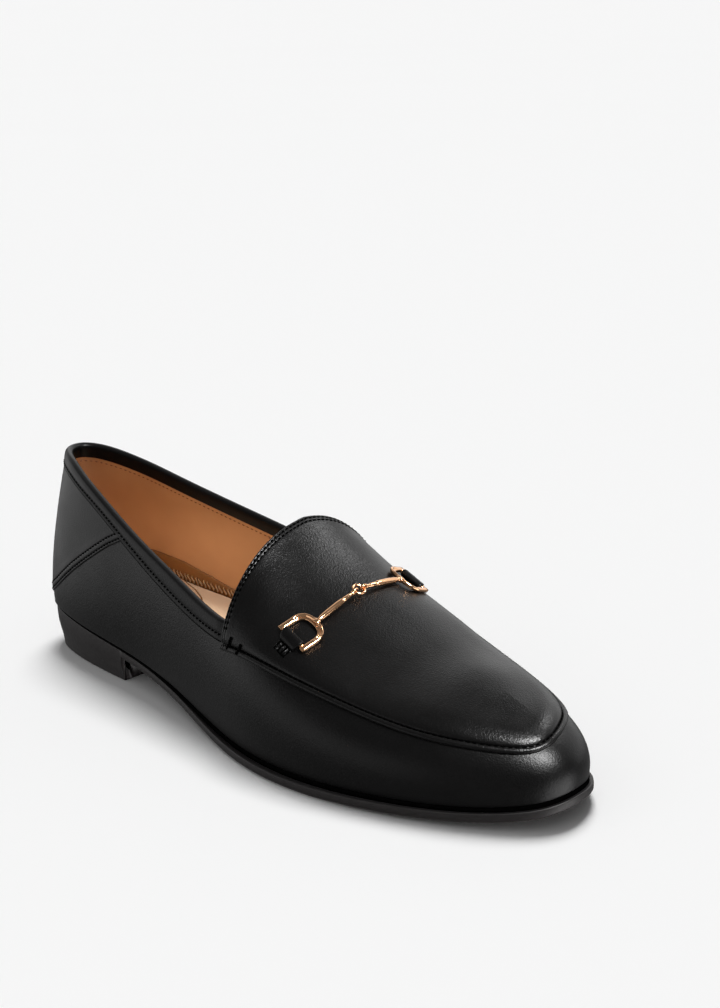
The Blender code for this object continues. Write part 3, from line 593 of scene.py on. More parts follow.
def apron():
    sides = {}
    for side in ("lateral", "medial"):
        u, t, lift = apron_grid(side)
        sides[side] = (skin(u, t, lift), skin(u, t, np.minimum(lift - 1.0, -1.0)), u, t, lift)
    lat, med = sides["lateral"], sides["medial"]
    n, m = lat[0].shape[:2]
    outer = np.concatenate([lat[0], med[0][:, -2::-1]], 1)
    inner = np.concatenate([lat[1], med[1][:, -2::-1]], 1)
    outer[-1, m:] = outer[-1, m - 2::-1]
    inner[-1, m:] = inner[-1, m - 2::-1]
    w = outer.shape[1]
    points = np.concatenate([outer.reshape(-1, 3), inner.reshape(-1, 3)])
    # the last row folds onto itself, so its medial half is left out
    keep = np.arange(2 * n * w)
    for layer in (0, 1):
        base = layer * n * w + (n - 1) * w
        for j in range(m, w):
            keep[base + j] = base + (2 * (m - 1) - j)
    faces = []
    for layer, flip in ((0, False), (1, True)):
        for f in grid_faces(n, w, False, False, layer * n * w):
            f = [int(keep[v]) for v in f]
            f = [v for k, v in enumerate(f) if v not in f[:k]]
            if len(f) > 2:
                faces.append(f[::-1] if flip else f)
    o, i = np.arange(n * w).reshape(n, w), np.arange(n * w).reshape(n, w) + n * w
    rim = [list(z) for z in zip(o[0][:-1], i[0][:-1], i[0][1:], o[0][1:])]
    rim += [list(z)[::-1] for z in zip(o[:-1, 0], i[:-1, 0], i[1:, 0], o[1:, 0])]
    rim += [list(z) for z in zip(o[:-1, -1], i[:-1, -1], i[1:, -1], o[1:, -1])]
    for f in rim:
        f = [int(keep[v]) for v in f]
        f = [v for k, v in enumerate(f) if v not in f[:k]]
        if len(f) > 2:
            faces.append(f)
    body = piece("apron_tongue", points, faces, APRON, "apron_leather", ("apron",))
    # stitches: two rows on the tongue's edge, one in the groove inside the lip
    sets = []
    for e_at in (1.05, 2.4):
        row = [k for k, (e, _) in enumerate(EDGE) if e == e_at][0]
        start = 20
        us = np.concatenate([lat[2][row, start:], med[2][row, -2:start:-1]])
        ts = np.concatenate([lat[3][row, start:], med[3][row, -2:start:-1]])
        ls = np.concatenate([lat[4][row, start:], med[4][row, -2:start:-1]])
        p = skin(us, ts, ls + 0.14)
        sets.append(stitch_row(p, skin(us, ts, ls + 1) - skin(us, ts, ls), 2.05, 1.5, 0.3))
    col = LIP_ROW
    us = np.concatenate([lat[2][12:, col], med[2][-2:12:-1, col]])
    ts = np.concatenate([lat[3][12:, col], med[3][-2:12:-1, col]])
    p = skin(us, ts, 0.42)
    sets.append(stitch_row(p, skin(us, ts, 1.6) - p, 2.3, 1.8, 0.22))
    piece("apron_stitches", *join_sets(sets), THREAD_AND_SHADE, "apron_leather")
    return body


TACKS = (((0.2682, 0.3993), (0.2650, 0.3393)), ((0.2771, 0.4126), (0.2748, 0.3607)))


def tacks():
    """a pair of bar tacks over the seam at each throat corner"""
    sets = []
    for mirror in (False, True):
        for a, b in TACKS:
            k = np.linspace(0, 1, 15)
            us = a[0] + (b[0] - a[0]) * k
            ts = a[1] + (b[1] - a[1]) * k
            if mirror:
                ts = ts + (seam_t(1 - us) - seam_t(us))
                us = 1 - us
            from_seam = (ts - seam_t(us)) * speed_t(us, seam_t(us))
            h = np.interp(from_seam, [d for d, _ in LIP[3:]], [v for _, v in LIP[3:]])
            h = np.where(from_seam < -0.95, 0.25, h) + 0.12
            h = np.convolve(np.pad(h, 2, mode="edge"), np.ones(5) / 5, mode="valid")
            p = skin(us, ts, h)
            up = skin(us, ts, h + 1) - p
            sets.append(tube(p, 0.5 + 0.06 * np.cos(k * 40), 8, up, squash=0.7))
            across = unit(np.cross(np.gradient(p, axis=0), up))
            for j in range(8):
                q = p[1 + j * 13 // 8]
                w = across[1 + j * 13 // 8]
                n = unit(up[1 + j * 13 // 8])
                arc = [q + w * 0.62 * math.cos(v) + n * 0.42 * math.sin(v) for v in np.linspace(0.0, math.pi, 7)]
                sets.append(tube(arc, 0.13, 5, None))
    piece("bar_tacks", *many(sets), THREAD_AND_SHADE, "apron_leather")


# ---- inside ----
def lining():
    u = np.arange(360) / 360.0
    rear = drop_t(u, 4.6)
    front = seam_t(u) + 4.0 / speed_t(u, seam_t(u))
    w = ease((feather(u)[:, 0] - 133.0) / 8.0)
    end = rear * (1 - w) + front * w
    share = np.linspace(0.03, 1, 40)
    inner = skin(u[:, None], end[:, None] * share[None], -2.05)
    outer = skin(u[:, None], end[:, None] * share[::-1][None], -1.55)
    piece("lining", *loop_body(np.concatenate([inner, outer], 1), True), LINING, "insole_leather")
    # under the apron, and up the tongue's back
    v = U_THROAT + 0.0024 + (0.5 - U_THROAT - 0.0024) * np.linspace(0, 1, 70)
    share = np.linspace(0, 1, 26)
    lat_t = seam_t(v)[:, None] + 0.5 / speed_t(v, seam_t(v))[:, None]
    lat_t = lat_t + (1 - lat_t) * share[None]
    med_t = seam_t(1 - v)[:, None] + 0.5 / speed_t(1 - v, seam_t(1 - v))[:, None]
    med_t = med_t + (1 - med_t) * share[None]
    layers = []
    for off in (-1.75, -1.15):
        layers.append(np.concatenate([skin(v[:, None], lat_t, off), skin(1 - v[:, None], med_t, off)[:, -2::-1]], 1))
    rows = np.concatenate([layers[0], layers[1][:, ::-1]], 1)
    piece("vamp_lining", *loop_body(rows, False), LINING, "insole_leather")


def wall_height(x):
    """top of the brown strip along the inside wall"""
    return np.interp(x, (0, 25, 44, 58, 70, 84, 98), (35.4, 34.8, 33.0, 29.8, 26.2, 22.4, 18.0))


def bed_top(u):
    return around("feather", "feather", u) + around("bed", "bed", u) + 1.3 * (1 - ease((feather(u)[:, 0] - 70) / 45.0))


def strip():
    span = 0.1875
    u = np.linspace(-span, span, 300)
    low = bed_top(u) - 1.6
    high = np.maximum(wall_height(feather(u)[:, 0]), low + 1.9)
    t0, t1 = at_height(u, low), at_height(u, high)
    section = [(0.0, -2.0), (0.0, -3.1), (0.25, -3.0), (0.6, -2.95), (0.88, -2.9), (0.97, -2.7), (1.0, -2.4), (0.99, -2.0)]
    rows = np.stack([skin(u, t0 + (t1 - t0) * k, off) for k, off in section], 1)
    piece("inner_strip", *loop_body(rows, False), STRIP, "insole_leather")
    # whip stitches between the strip and the insole
    v = np.linspace(-span + 0.004, span - 0.004, 400)
    t = at_height(v, bed_top(v) + 0.1)
    path, _ = resample(np.concatenate([skin(v, t, -3.2), skin(v, at_height(v, bed_top(v) + 2.3), -3.05)], 1), 3.1)
    low_, high_ = path[:, :3], path[:, 3:]
    along = unit(np.gradient(low_, axis=0))
    inward = unit(np.cross([0, 0, 1], along))
    if inward[0] @ (np.array([30.0, 0, 0]) - low_[0]) < 0:
        inward = -inward
    sets = []
    for p, q, a, w in zip(low_, high_, along, inward):
        sway = 0.35 * math.sin(len(sets) * 2.4)
        line = [p + w * 0.95 - a * 1.0 + [0, 0, -0.15], p + w * 0.7 - a * 0.85 + [0, 0, 0.25], p + w * 0.3 - a * 0.45 + [0, 0, 0.45], p + (q - p) * 0.5 + w * 0.42 + a * (0.35 + sway * 0.5), p + (q - p) * 0.9 + w * 0.35 + a * (1.0 + sway), p + (q - p) * 1.05 + a * (1.25 + sway) - w * 0.2]
        sets.append(tube(line, (0.26, 0.34, 0.38, 0.38, 0.32, 0.2), 6, unit(w + np.array([0, 0, 1.0]))))
    piece("whip_stitches", *many(sets), CREAM_THREAD, "insole_leather")


PAD_X = (36.0, 46.0, 57.0, 65.0, 70.0, 73.5, 75.0)   # heel pad's front edge: x against the share of half width
PAD_S = (1.0, 0.93, 0.78, 0.6, 0.42, 0.22, 0.0)


def insole():
    """a cushioned insole with a softly crowned top and the line of the heel pad pressed into it"""
    half = np.linspace(0, 0.5, 260)
    inset = 3.35
    rows = []
    xs = np.linspace(4.9, 262.0, 420)
    lat_u = half
    lat = feather(lat_u) - plan_normal(lat_u) * inset
    med = feather(1 - lat_u) - plan_normal(1 - lat_u) * inset
    top_l, top_m = bed_top(lat_u), bed_top(1 - lat_u)
    for x in xs:
        yl, ym = np.interp(x, lat[:, 0], lat[:, 1]), np.interp(x, med[:, 0], med[:, 1])
        zl, zm = np.interp(x, lat[:, 0], top_l), np.interp(x, med[:, 0], top_m)
        z = (zl + zm) / 2
        s = np.linspace(-1, 1, 61)
        s = np.sign(s) * (1 - (1 - np.abs(s)) ** 1.6)
        y = (yl + ym) / 2 + s * (ym - yl) / 2
        wide = abs(ym - yl) / 2
        away = (1 - np.abs(s)) * wide
        top = z + 0.25 - 0.9 * np.exp(-(away / 0.9) ** 2) + 0.3 * (1 - s ** 2)
        front = np.interp(np.abs(s), PAD_S[::-1], PAD_X[::-1])
        d = x - front
        top = top + 0.4 * (1 - ease((d + 0.5) / 1.0)) - 0.45 * np.exp(-(d / 0.5) ** 2)
        low = np.full_like(y, z - 3.2)
        rows.append(np.concatenate([np.stack([np.full_like(y, x), y, top], -1), np.stack([np.full_like(y, x), y, low], -1)[::-1]]))
    piece("footbed", *loop_body(np.array(rows), False), CREAM, "insole_leather", ("insole",))
    # a darker brown cord lies along the pressed line
    s = np.linspace(-0.985, 0.985, 120)
    line, up = [], []
    for k in s:
        x = float(np.interp(abs(k), PAD_S[::-1], PAD_X[::-1]))
        yl, ym = np.interp(x, lat[:, 0], lat[:, 1]), np.interp(x, med[:, 0], med[:, 1])
        z = (np.interp(x, lat[:, 0], top_l) + np.interp(x, med[:, 0], top_m)) / 2
        line.append(((x), (yl + ym) / 2 + k * (ym - yl) / 2, z + 0.3 + 0.3 * (1 - k * k)))
        up.append((0, 0, 1.0))
    line = np.array(line) + [0, 0, 0.22]
    piece("pad_line", *tube(line, 0.3, 6, up, squash=0.5), STRIP, "insole_leather")


# ---- sole and low heel ----
def ring(u, out, z):
    p = feather(u) + plan_normal(u) * np.broadcast_to(out, u.shape)[:, None]
    p[:, 2] = z
    return p


def sole():
    half = np.linspace(0, 0.5, 421)
    xs = feather(half)[:, 0]
    at = float(np.interp(BREAST_X + BREAST_LEAN, xs, half))
    near = [v for v in half if abs(v - at) > 0.0018]
    half = np.array(sorted(near + [at - 4e-4, at + 4e-4]))
    u = np.concatenate([half, 1 - half[-2:0:-1]])
    n = len(u)
    edge = around("edge", "edge", u)
    high = around("feather", "feather", u)
    low = np.maximum(high - 5.0, 0.0)
    low = np.where(np.abs(feather(u)[:, 0] - 176) < 24, low * ease((np.abs(feather(u)[:, 0] - 176) - 10) / 14), low)
    heel = np.minimum(u, 1 - u) < at
    top = high - 1.5
    span = top - np.where(heel, 0.0, low)

    def mix(h, f):
        return np.where(heel, h, f)

    section = [
        (mix(edge - 3.5, edge - 3.5), top - 0.55),
        (mix(edge - 0.9, edge - 0.9), top - 0.2),
        (mix(edge - 0.15, edge - 0.15), top - 0.06),
        (mix(edge + 0.16, edge + 0.2), top - 0.04),
        (mix(edge + 0.3, edge + 0.36), top - 0.14),
        (mix(edge + 0.34, edge + 0.42), top - 0.5),
    ]
    for k in (0.25, 0.4, 0.55, 0.68, 0.78, 0.86, 0.92, 0.96, 0.985):
        h_out = edge + 0.34 - 0.25 * k - (HEEL_TAPER - 0.2) * ease((k - 0.2) / 0.8) * 1.0
        f_out = edge + 0.4 + 0.12 * math.sin(math.pi * min(k / 0.8, 1))
        f_out = f_out - 0.75 * (max(k - 0.62, 0) / 0.38) ** 2.2
        section.append((mix(h_out, f_out), top - 0.6 - (span - 0.6) * k))
    section.append((mix(edge - HEEL_TAPER - 0.3, edge - 0.75), mix(0.0, low) * np.ones(n)))
    section.append((mix(edge - HEEL_TAPER - 0.9, edge - 1.5), mix(0.0, low) * np.ones(n)))
    rings = [ring(u, o, z) for o, z in section]
    i = int(np.argmin(np.abs(half - (at - 4e-4))))
    for r in rings:
        for j in range(1, n // 2):
            r[j, 0] = r[n - j, 0] = (r[j, 0] + r[n - j, 0]) / 2
        share = np.clip((top[i] - r[i, 2]) / top[i], 0, 1)
        r[i, 0] = r[n - i, 0] = BREAST_X + BREAST_LEAN * (1 - share)
        r[i + 1, 0] = r[n - i - 1, 0] = BREAST_X + BREAST_LEAN + 0.05
    points = list(np.concatenate(rings))
    ids = np.arange(len(rings) * n).reshape(len(rings), n)
    faces = grid_faces(len(rings), n, False, True)
    fill = 12
    for k, below in ((0, False), (len(rings) - 1, True)):
        loop = ids[k]
        rungs = [[int(loop[0])]]
        for j in range(1, n // 2):
            a, b = points[loop[j]], points[loop[n - j]]
            row = [int(loop[j])]
            for m in range(1, fill):
                row.append(len(points))
                points.append(a + (b - a) * m / fill)
            rungs.append(row + [int(loop[n - j])])
        rungs.append([int(loop[n // 2])])
        for a, b in zip(rungs[:-1], rungs[1:]):
            if len(a) == 1:
                found = [[a[0], b[m], b[m + 1]] for m in range(len(b) - 1)]
            elif len(b) == 1:
                found = [[a[m + 1], a[m], b[0]] for m in range(len(a) - 1)]
            else:
                found = [[a[m + 1], a[m], b[m], b[m + 1]] for m in range(len(a) - 1)]
            faces += found if not below else [f[::-1] for f in found]
    faces = [f[::-1] for f in faces[: (len(rings) - 1) * n]] + faces[(len(rings) - 1) * n:]
    body = piece("sole_heel", np.array(points), faces, RUBBER, "sole_rubber", ("sole",))
    # the seat the upper stands on: a black filler in the groove, a painted shadow of the gap between upper and sole
    v = np.arange(300) / 300.0
    f = feather(v)
    rows = []
    rim = around("edge", "edge", v)
    for out, down in ((np.minimum(rim, 0.1), 0.0), (np.minimum(rim + 0.22, 0.3), 0.16), (np.minimum(rim + 0.22, 0.3), 1.5), (np.minimum(rim, 0.1), 1.9), (rim * 0 - 3.0, 2.1), (rim * 0 - 3.0, 0.12)):
        p = f + plan_normal(v) * out[:, None]
        p[:, 2] -= down
        rows.append(p)
    piece("welt_shadow_fill", *loop_body(np.stack(rows, 1), True), THREAD_AND_SHADE, "sole_rubber")
    return body


# ---- the bit ----
D_HALF, D_STRAIGHT, D_DEPTH, D_TAIL, D_LIFT = 6.1, 4.3, 9.5, 0.9, 2.3
RING_R, EYE_R, CENTRE_LIFT = 2.2, 1.15, 2.9
KEEPER_WIDE = 9.4
BIT = {"lateral": ((0.298, 0.613), (0.316, 0.604)), "medial": ((0.707, 0.671), (0.688, 0.647))}
BIT_CENTRE = (0.3075, 0.952)


def centre_normal():
    u, t = BIT_CENTRE
    return unit(skin(u, t, 1.0) - skin(u, t, 0.0))


def bit_frames():
    centre = skin(*BIT_CENTRE, CENTRE_LIFT)
    found = {}
    for side, (back, fore) in BIT.items():
        a, b = skin(*back, 0.0), skin(*fore, 0.0)
        along = unit(b - a)
        on = (np.array(back) + np.array(fore)) / 2
        middle = skin(*on, 0.0)
        step = 5.0 / np.linalg.norm(skin(on[0], on[1] + 0.1) - skin(on[0], on[1])) * 0.1
        normal = skin(on[0], on[1] + step, 1.0) - skin(on[0], on[1] + step, 0.0)
        normal = unit(normal - along * (normal @ along))
        across = np.cross(normal, along)
        if across @ (centre - middle) < 0:
            across = -across
        found[side] = (middle + normal * D_LIFT, along, across, normal)
    return found, centre


def box(middle, x, y, z, size, bevel=0.18):
    """a bevelled block on its own axes"""
    a, b, c = (np.array(size) / 2).tolist()
    loops = []
    for w, inset in ((-c, bevel), (-c + bevel, 0.0), (c - bevel, 0.0), (c, bevel)):
        e, f = a - inset, b - inset
        g = min(bevel, e, f)
        corners = [(e - g, -f), (e, -f + g), (e, f - g), (e - g, f), (-e + g, f), (-e, f - g), (-e, -f + g), (-e + g, -f)]
        loops.append([middle + x * p + y * q + z * w for p, q in corners])
    return loop_body(np.array(loops), False)


def ball(middle, radius, axis, sides=18):
    v = np.linspace(-math.pi / 2 * 0.97, math.pi / 2 * 0.97, 12)
    return tube([middle + axis * radius * math.sin(k) for k in v], [radius * math.cos(k) for k in v], sides)


def wire_ring(middle, across, up, radius, wire, count=64, sides=14, flat=1.0):
    a = np.arange(count) * 2 * math.pi / count
    path = np.array([middle + radius * (math.cos(v) * unit(across) + math.sin(v) * unit(up)) for v in a])
    return tube(path, wire, sides, np.array([unit(np.cross(across, up))] * count), closed=True, squash=flat)


PLAIN_D = ((-1.08, -0.42), (-0.85, -0.74), (0.85, -0.74), (1.08, -0.42), (1.1, 0.1), (1.06, 0.36), (0.86, 0.62), (0.5, 0.7), (0.14, 0.7), (-0.14, 0.7), (-0.42, 0.68), (-0.7, 0.62), (-0.96, 0.36), (-1.08, 0.1))
STEP_D = ((-1.12, -0.42), (-0.85, -0.74), (0.85, -0.74), (1.08, -0.42), (1.18, 0.2), (1.12, 0.52), (0.88, 0.76), (0.5, 0.78), (0.26, 0.62), (0.1, 0.16), (-0.12, 0.02), (-0.36, 0.2), (-0.75, 0.32), (-1.12, 0.04))
# distance along the bar and its radius
LATHE = ((0.0, 0.9), (0.1, 0.9), (0.11, 0.8), (0.13, 0.8), (0.15, 0.98), (0.22, 1.12), (0.34, 1.2), (0.46, 1.22), (0.6, 1.22), (0.7, 1.16), (0.715, 1.1), (0.725, 0.86), (0.74, 0.84), (0.75, 0.98),
         (0.83, 0.92), (0.89, 0.82), (0.94, 0.66), (1.0, 0.5))


def bit_half(side, frames, centre):
    origin, along, across, normal = frames[side]
    out_sign = 1.0 if side == "lateral" else -1.0
    line = [(D_HALF, -D_TAIL - 0.35), (D_HALF, -D_TAIL - 0.28), (D_HALF, 0.0), (D_HALF, 1.4), (D_HALF, 2.8), (D_HALF, 3.8)]
    for k in range(41):
        v = math.pi * k / 40
        line.append((D_HALF * math.copysign(abs(math.cos(v)) ** 0.78, math.cos(v)), D_STRAIGHT + (D_DEPTH - D_STRAIGHT) * math.sin(v) ** 0.82))
    line += [(-a, b) for a, b in line[:6]][::-1]
    line = np.array(line)
    path = origin + along * line[:, :1] + across * line[:, 1:]
    tangent = unit(np.gradient(path, axis=0))
    side_dir = np.cross(tangent, normal) * out_sign
    w = ease((line[:, 1] - 4.0) / 2.4)[:, None, None]
    shape = np.array(PLAIN_D)[None] * (1 - w) + np.array(STEP_D)[None] * w
    shape[0] *= 0.86
    shape[-1] *= 0.86
    rows = path[:, None] + side_dir[:, None] * shape[..., :1] + normal * shape[..., 1:]
    parts = [loop_body(rows, False)]
    ends = [origin - along * (D_HALF + 0.55), origin + along * (D_HALF + 0.55)]
    parts.append(tube(ends, 0.62, 20, np.array([normal] * 2)))
    for sign in (-1, 1):
        parts.append(tube([origin + along * sign * (D_HALF + k) for k in (-1.25, -1.2, -0.75, -0.7)], (0.8, 0.95, 0.95, 0.8), 20, np.array([normal] * 4)))
        parts.append(tube([origin + along * sign * (D_HALF + k) for k in (0.6, 0.9, 1.05)], (0.62, 0.5, 0.2), 16, np.array([normal] * 3)))
    start = origin + across * (D_DEPTH - 0.1) + normal * 0.1
    flat = start - centre
    flat = unit(flat - centre_normal() * (flat @ centre_normal()))
    eye_middle = centre + flat * RING_R
    finish = eye_middle + flat * (EYE_R + 0.15)
    run = finish - start
    length = np.linalg.norm(run)
    axis = run / length
    up = unit(normal - axis * (normal @ axis))
    wide = np.cross(axis, up)
    parts.append(box(start + axis * 0.75, wide, up, axis, (2.7, 1.7, 1.9)))
    s = np.array([k for k, _ in LATHE])
    fine = np.unique(np.concatenate([s, np.linspace(0, 1, 40)]))
    radius = np.interp(fine, s, [r for _, r in LATHE])
    bow = np.sin(math.pi * np.clip(fine, 0, 1)) * 0.25
    bar = start + axis * (fine * length)[:, None] + up * bow[:, None]
    parts.append(tube(bar, radius, 24, np.array([up] * len(fine)), squash=0.92))
    parts.append(ball(finish - axis * 0.15, 0.9, axis))
    parts.append(wire_ring(eye_middle, flat, centre_normal(), EYE_R, 0.48))
    body = piece(f"bit_{side}_d_and_bar", *many(parts), GOLD, "bit_metal", (f"bit_{side}",))
    return body


def centre_ring(centre):
    out = centre_normal()
    along = unit(np.cross(out, [0, 1, 0]))
    piece("centre_ring", *wire_ring(centre, along, np.cross(out, along), RING_R, 0.52, 80, 16), GOLD, "bit_metal", ("bit_centre_ring",))


def onto_apron(points, height):
    """drops points on the apron near the bit: each keeps its place across the shoe and stands this high over the leather"""
    u = np.linspace(0.27, 0.36, 46)
    u = np.concatenate([u, 1 - u])
    t = np.linspace(0.4, 0.95, 90)
    u, t = np.meshgrid(u, t)
    flat = skin(u, t, 0.0).reshape(-1, 3)
    up = unit((skin(u, t, 1.0) - skin(u, t, 0.0)).reshape(-1, 3))
    found = []
    for p, h in zip(points, height):
        d = p - flat
        off = np.linalg.norm(d - up * np.sum(d * up, -1, keepdims=True), axis=-1) + 0.02 * np.abs(np.sum(d * up, -1))
        near = np.argsort(off)[:4]
        w = 1 / (off[near] + 0.05)
        w /= w.sum()
        base = (flat[near] + up[near] * np.sum(d[near] * up[near], -1, keepdims=True))
        n = unit((up[near] * w[:, None]).sum(0))
        high = (np.sum(d[near] * up[near], -1) * w).sum()
        found.append(p - n * (high - h))
    return np.array(found)


def keeper(side, frames):
    """a strap folded round the crossbar, its two ends drawn together into a stitched tab on the apron"""
    origin, along, across, normal = frames[side]
    section = []
    for k in range(25):
        v = math.radians(100 - 205 * k / 24)
        section.append((1.5 * math.cos(v) * 1.1, 1.42 * math.sin(v)))
    section = [(-3.3, -1.0), (-3.0, -0.1), (-2.2, 0.62), (-1.2, 1.2)] + section + [(-1.6, -1.75), (-3.3, -1.85)]
    section = np.array(section)
    w = np.concatenate([[-0.5, -0.492, -0.47], np.linspace(-0.44, 0.44, 15), [0.47, 0.492, 0.5]]) * KEEPER_WIDE
    shrink = np.interp(np.abs(w) / KEEPER_WIDE, (0, 0.44, 0.47, 0.492, 0.5), (1, 1, 0.97, 0.9, 0.78))
    middle = section.mean(0)
    rows = []
    for k, s in zip(w, shrink):
        q = middle + (section - middle) * s
        narrow = 1 - 0.16 * ease((-q[:, 0] - 0.5) / 3.0)
        rows.append(origin + across * q[:, :1] + normal * q[:, 1:] + along * (k * narrow)[:, None])
    body = piece(f"keeper_{side}_fold", *loop_body(np.array(rows), False), BINDING, "keeper_leather", (f"keeper_{side}",))
    # tab: a gathered mound on the apron
    a_ = np.linspace(-7.9, -2.9, 24)
    w_ = np.linspace(-3.9, 3.9, 49)
    aa, ww = np.meshgrid(a_, w_, indexing="ij")
    ra, rw = (aa + 5.4) / 2.5, ww / 3.9
    dome = np.clip(1 - np.abs(ra) ** 4, 0, 1) * np.clip(1 - np.abs(rw) ** 4, 0, 1)
    pleat = np.cos(ww * 2 * math.pi / 1.75 + 0.5 * np.sin(aa * 1.3)) * 0.34 * (1 - 0.5 * np.abs(ra))
    high = 0.3 + np.sqrt(dome) * (1.35 + pleat + 0.25 * np.sin(aa * 2.1 + ww))
    shift = 0.35 * np.sin(ww * 1.1)
    points = origin + across * (aa + shift)[..., None] + along * (ww * (1 - 0.1 * np.abs(ra)))[..., None]
    top = onto_apron(points.reshape(-1, 3), high.reshape(-1)).reshape(points.shape)
    low = onto_apron(points.reshape(-1, 3), (high * 0 - 0.3).reshape(-1)).reshape(points.shape)
    n, m = aa.shape
    faces = grid_faces(n, m, False, False) + [f[::-1] for f in grid_faces(n, m, False, False, n * m)]
    ids = np.arange(n * m).reshape(n, m)
    edge = np.concatenate([ids[0, :-1], ids[:-1, -1], ids[-1, :0:-1], ids[:0:-1, 0]])
    faces += [[int(edge[k]), int(edge[(k + 1) % len(edge)]), int(edge[(k + 1) % len(edge)] + n * m), int(edge[k] + n * m)][::-1] for k in range(len(edge))]
    both = np.concatenate([top.reshape(-1, 3), low.reshape(-1, 3)])
    piece(f"keeper_{side}_tab", both, faces, UPPER, "keeper_leather")
    sets = []
    lines = []
    for k in np.linspace(-2.7, 2.7, 4):
        lines.append([(-7.5, k * 0.95), (-6.5, k), (-5.3, k * 1.02), (-4.3, k), (-3.5, k)])
    lines.append([(-7.35, -3.0), (-7.55, -1.0), (-7.5, 1.0), (-7.3, 3.0)])
    lines.append([(-3.6, -3.1), (-3.5, -1.0), (-3.5, 1.0), (-3.6, 3.1)])
    for line in lines:
        line = np.array(line)
        k = np.linspace(0, len(line) - 1, 21)
        line = np.stack([np.interp(k, np.arange(len(line)), line[:, c]) for c in (0, 1)], -1)
        p = origin + across * line[:, :1] + along * line[:, 1:]
        ra, rw = (line[:, 0] + 5.4) / 2.5, line[:, 1] / 3.9
        d = np.clip(1 - np.abs(ra) ** 4, 0, 1) * np.clip(1 - np.abs(rw) ** 4, 0, 1)
        h = 0.3 + np.sqrt(d) * (1.35 + np.cos(line[:, 1] * 2 * math.pi / 1.75 + 0.5 * np.sin(line[:, 0] * 1.3)) * 0.34 * (1 - 0.5 * np.abs(ra))) + 0.12 + 0.1 * np.cos(k * 2.6)
        q = onto_apron(p, h)
        sets.append(tube(q, 0.3, 7, np.array([normal] * len(q))))
    piece(f"keeper_{side}_threads", *many(sets), THREAD_AND_SHADE, "keeper_leather")
    return body


# ---- put together ----
skirt()
counter()
binding()
apron()
tacks()
lining()
strip()
insole()
sole()
frames, centre = bit_frames()
for which in ("lateral", "medial"):
    bit_half(which, frames, centre)
    keeper(which, frames)
centre_ring(centre)

# ---- light, floor and camera ----
scene = bpy.context.scene
scene.view_settings.view_transform = "Standard"
scene.view_settings.look = "None"
scene.view_settings.exposure = 0.0
scene.view_settings.gamma = 1.0

world = bpy.data.worlds.new("studio")
world.use_nodes = True
world.node_tree.nodes["Background"].inputs["Color"].default_value = (1, 1, 1, 1)
world.node_tree.nodes["Background"].inputs["Strength"].default_value = 0.17
scene.world = world


def lamp(name, kind, toward, distance, power, size=None, tall=None, angle=None, glossy=True, diffuse=True, aim=(0.03, 0.0, 0.05), colour=(1, 1, 1)):
    data = bpy.data.lights.new(name, kind)
    data.energy = power
    data.color = colour
    if kind == "AREA":
        data.shape = "RECTANGLE"
        data.size, data.size_y = size, tall or size
    if kind == "SUN":
        data.angle = math.radians(angle)
    made = bpy.data.objects.new(name, data)
    toward = Vector(toward).normalized()
    made.location = Vector(aim) + toward * distance
    made.rotation_euler = toward.to_track_quat("Z", "Y").to_euler()
    made.visible_glossy = glossy
    made.visible_diffuse = diffuse
    made.visible_camera = False
    scene.collection.objects.link(made)
    return made


lamp("daylight_heel", "SUN", (-0.2, 0.28, 0.94), 2.0, 2.52, angle=23, glossy=False)
lamp("daylight_side", "SUN", (0.0, -0.55, 0.83), 2.0, 0.4, angle=80, glossy=False)
lamp("toe_box", "AREA", (0.64, -0.06, 0.77), 1.0, 31.0, 0.36, 0.36, diffuse=False)
lamp("ridge_box", "AREA", (0.1, 0.72, 0.69), 1.0, 2.4, 0.22, 0.22, diffuse=False)
lamp("back_wall", "AREA", (-0.25, 0.93, 0.28), 2.0, 20.0, 4.0, 1.6, diffuse=False)
lamp("upper_left", "AREA", (-0.78, 0.25, 0.57), 1.5, 4.0, 1.4, 1.4, diffuse=False)
lamp("left_wall", "AREA", (-0.94, -0.26, 0.02), 1.5, 3.6, 1.5, 0.8, diffuse=False)
lamp("front_left", "AREA", (-0.36, -0.93, -0.05), 1.5, 2.8, 1.4, 0.7, diffuse=False)
lamp("inside_glow", "AREA", (0.0, 0.0, 1.0), 0.022, 0.0055, 0.085, 0.022, glossy=False, aim=(-0.055, -0.006, 0.036))

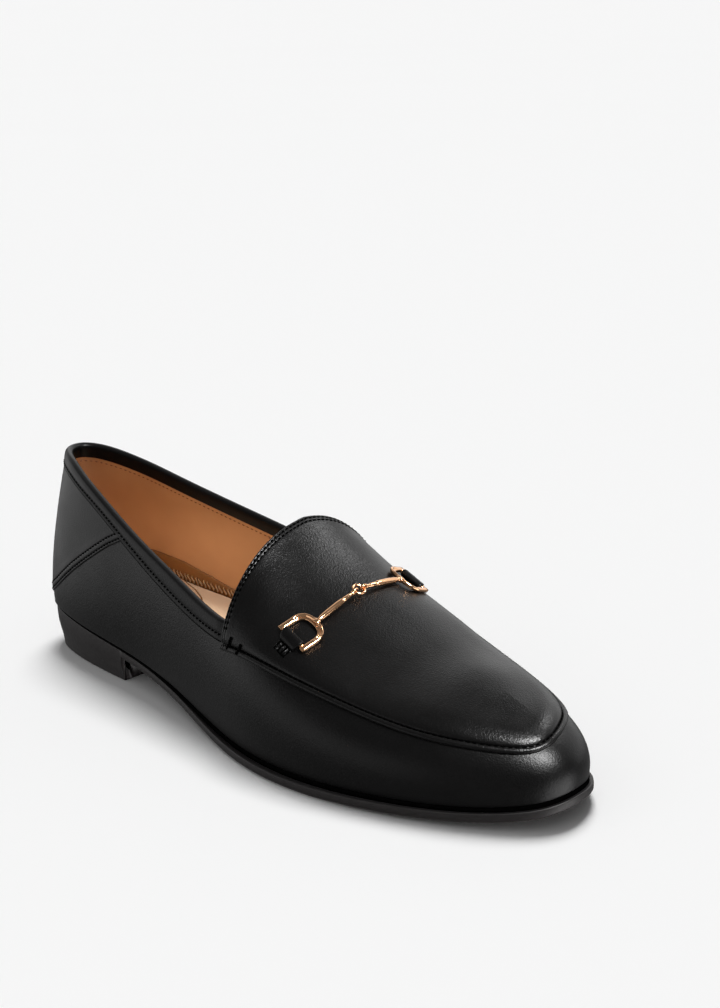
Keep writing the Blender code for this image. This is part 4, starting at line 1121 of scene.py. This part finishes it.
ground = bpy.data.meshes.new("floor")
far = 30.0
ground.from_pydata([(-far, -far, 0), (far, -far, 0), (far, far, 0), (-far, far, 0)], [], [(0, 1, 2, 3)])
paper, paper_tree, paper_shader = new_material("paper_floor")
paper_shader.inputs["Base Color"].default_value = (0.9, 0.9, 0.9, 1)
paper_shader.inputs["Roughness"].default_value = 0.85
paper_shader.inputs["Specular IOR Level"].default_value = 0.0
ground.materials.append(paper)
floor = bpy.data.objects.new("floor", ground)
scene.collection.objects.link(floor)
floor.visible_glossy = False

# the floor's mirror image in the leather, dim on the left and bright on the right: seen by glossy rays only
def sheen(name, corners, strength):
    mesh = bpy.data.meshes.new(name)
    mesh.from_pydata(corners, [], [(0, 1, 2, 3)])
    glow = bpy.data.materials.new(name)
    glow.use_nodes = True
    glow.cycles.emission_sampling = "NONE"
    glow.node_tree.nodes.clear()
    out = glow.node_tree.nodes.new("ShaderNodeOutputMaterial")
    light = glow.node_tree.nodes.new("ShaderNodeEmission")
    light.inputs["Strength"].default_value = strength
    glow.node_tree.links.new(light.outputs[0], out.inputs[0])
    mesh.materials.append(glow)
    card = bpy.data.objects.new(name, mesh)
    scene.collection.objects.link(card)
    card.visible_camera = card.visible_diffuse = card.visible_shadow = card.visible_transmission = False


sheen("floor_sheen", [(-14, -14, -1.5), (14, -14, -1.5), (14, 14, -1.5), (-14, 14, -1.5)], 0.22)
sheen("floor_sheen_right", [(0.95, -0.35, -1.0), (1.55, -0.35, -0.12), (1.55, 1.1, -0.12), (0.95, 1.1, -1.0)], 4.6)

AZIMUTH, RISE, ROLL = math.radians(44.82), math.radians(17.445), math.radians(-1.646)
back = Vector((math.sin(AZIMUTH) * math.cos(RISE), -math.cos(AZIMUTH) * math.cos(RISE), math.sin(RISE)))
right = Vector((math.cos(AZIMUTH), math.sin(AZIMUTH), 0))
up = back.cross(right)
turned_right = right * math.cos(ROLL) + up * math.sin(ROLL)
turned_up = up * math.cos(ROLL) - right * math.sin(ROLL)
view = bpy.data.cameras.new("camera")
view.lens, view.sensor_width = 63.23, 36.0
camera = bpy.data.objects.new("camera", view)
camera.matrix_world = Matrix((
    (turned_right[0], turned_up[0], back[0], 0.449615),
    (turned_right[1], turned_up[1], back[1], -0.413916),
    (turned_right[2], turned_up[2], back[2], 0.273039),
    (0, 0, 0, 1)))
scene.collection.objects.link(camera)
scene.camera = camera
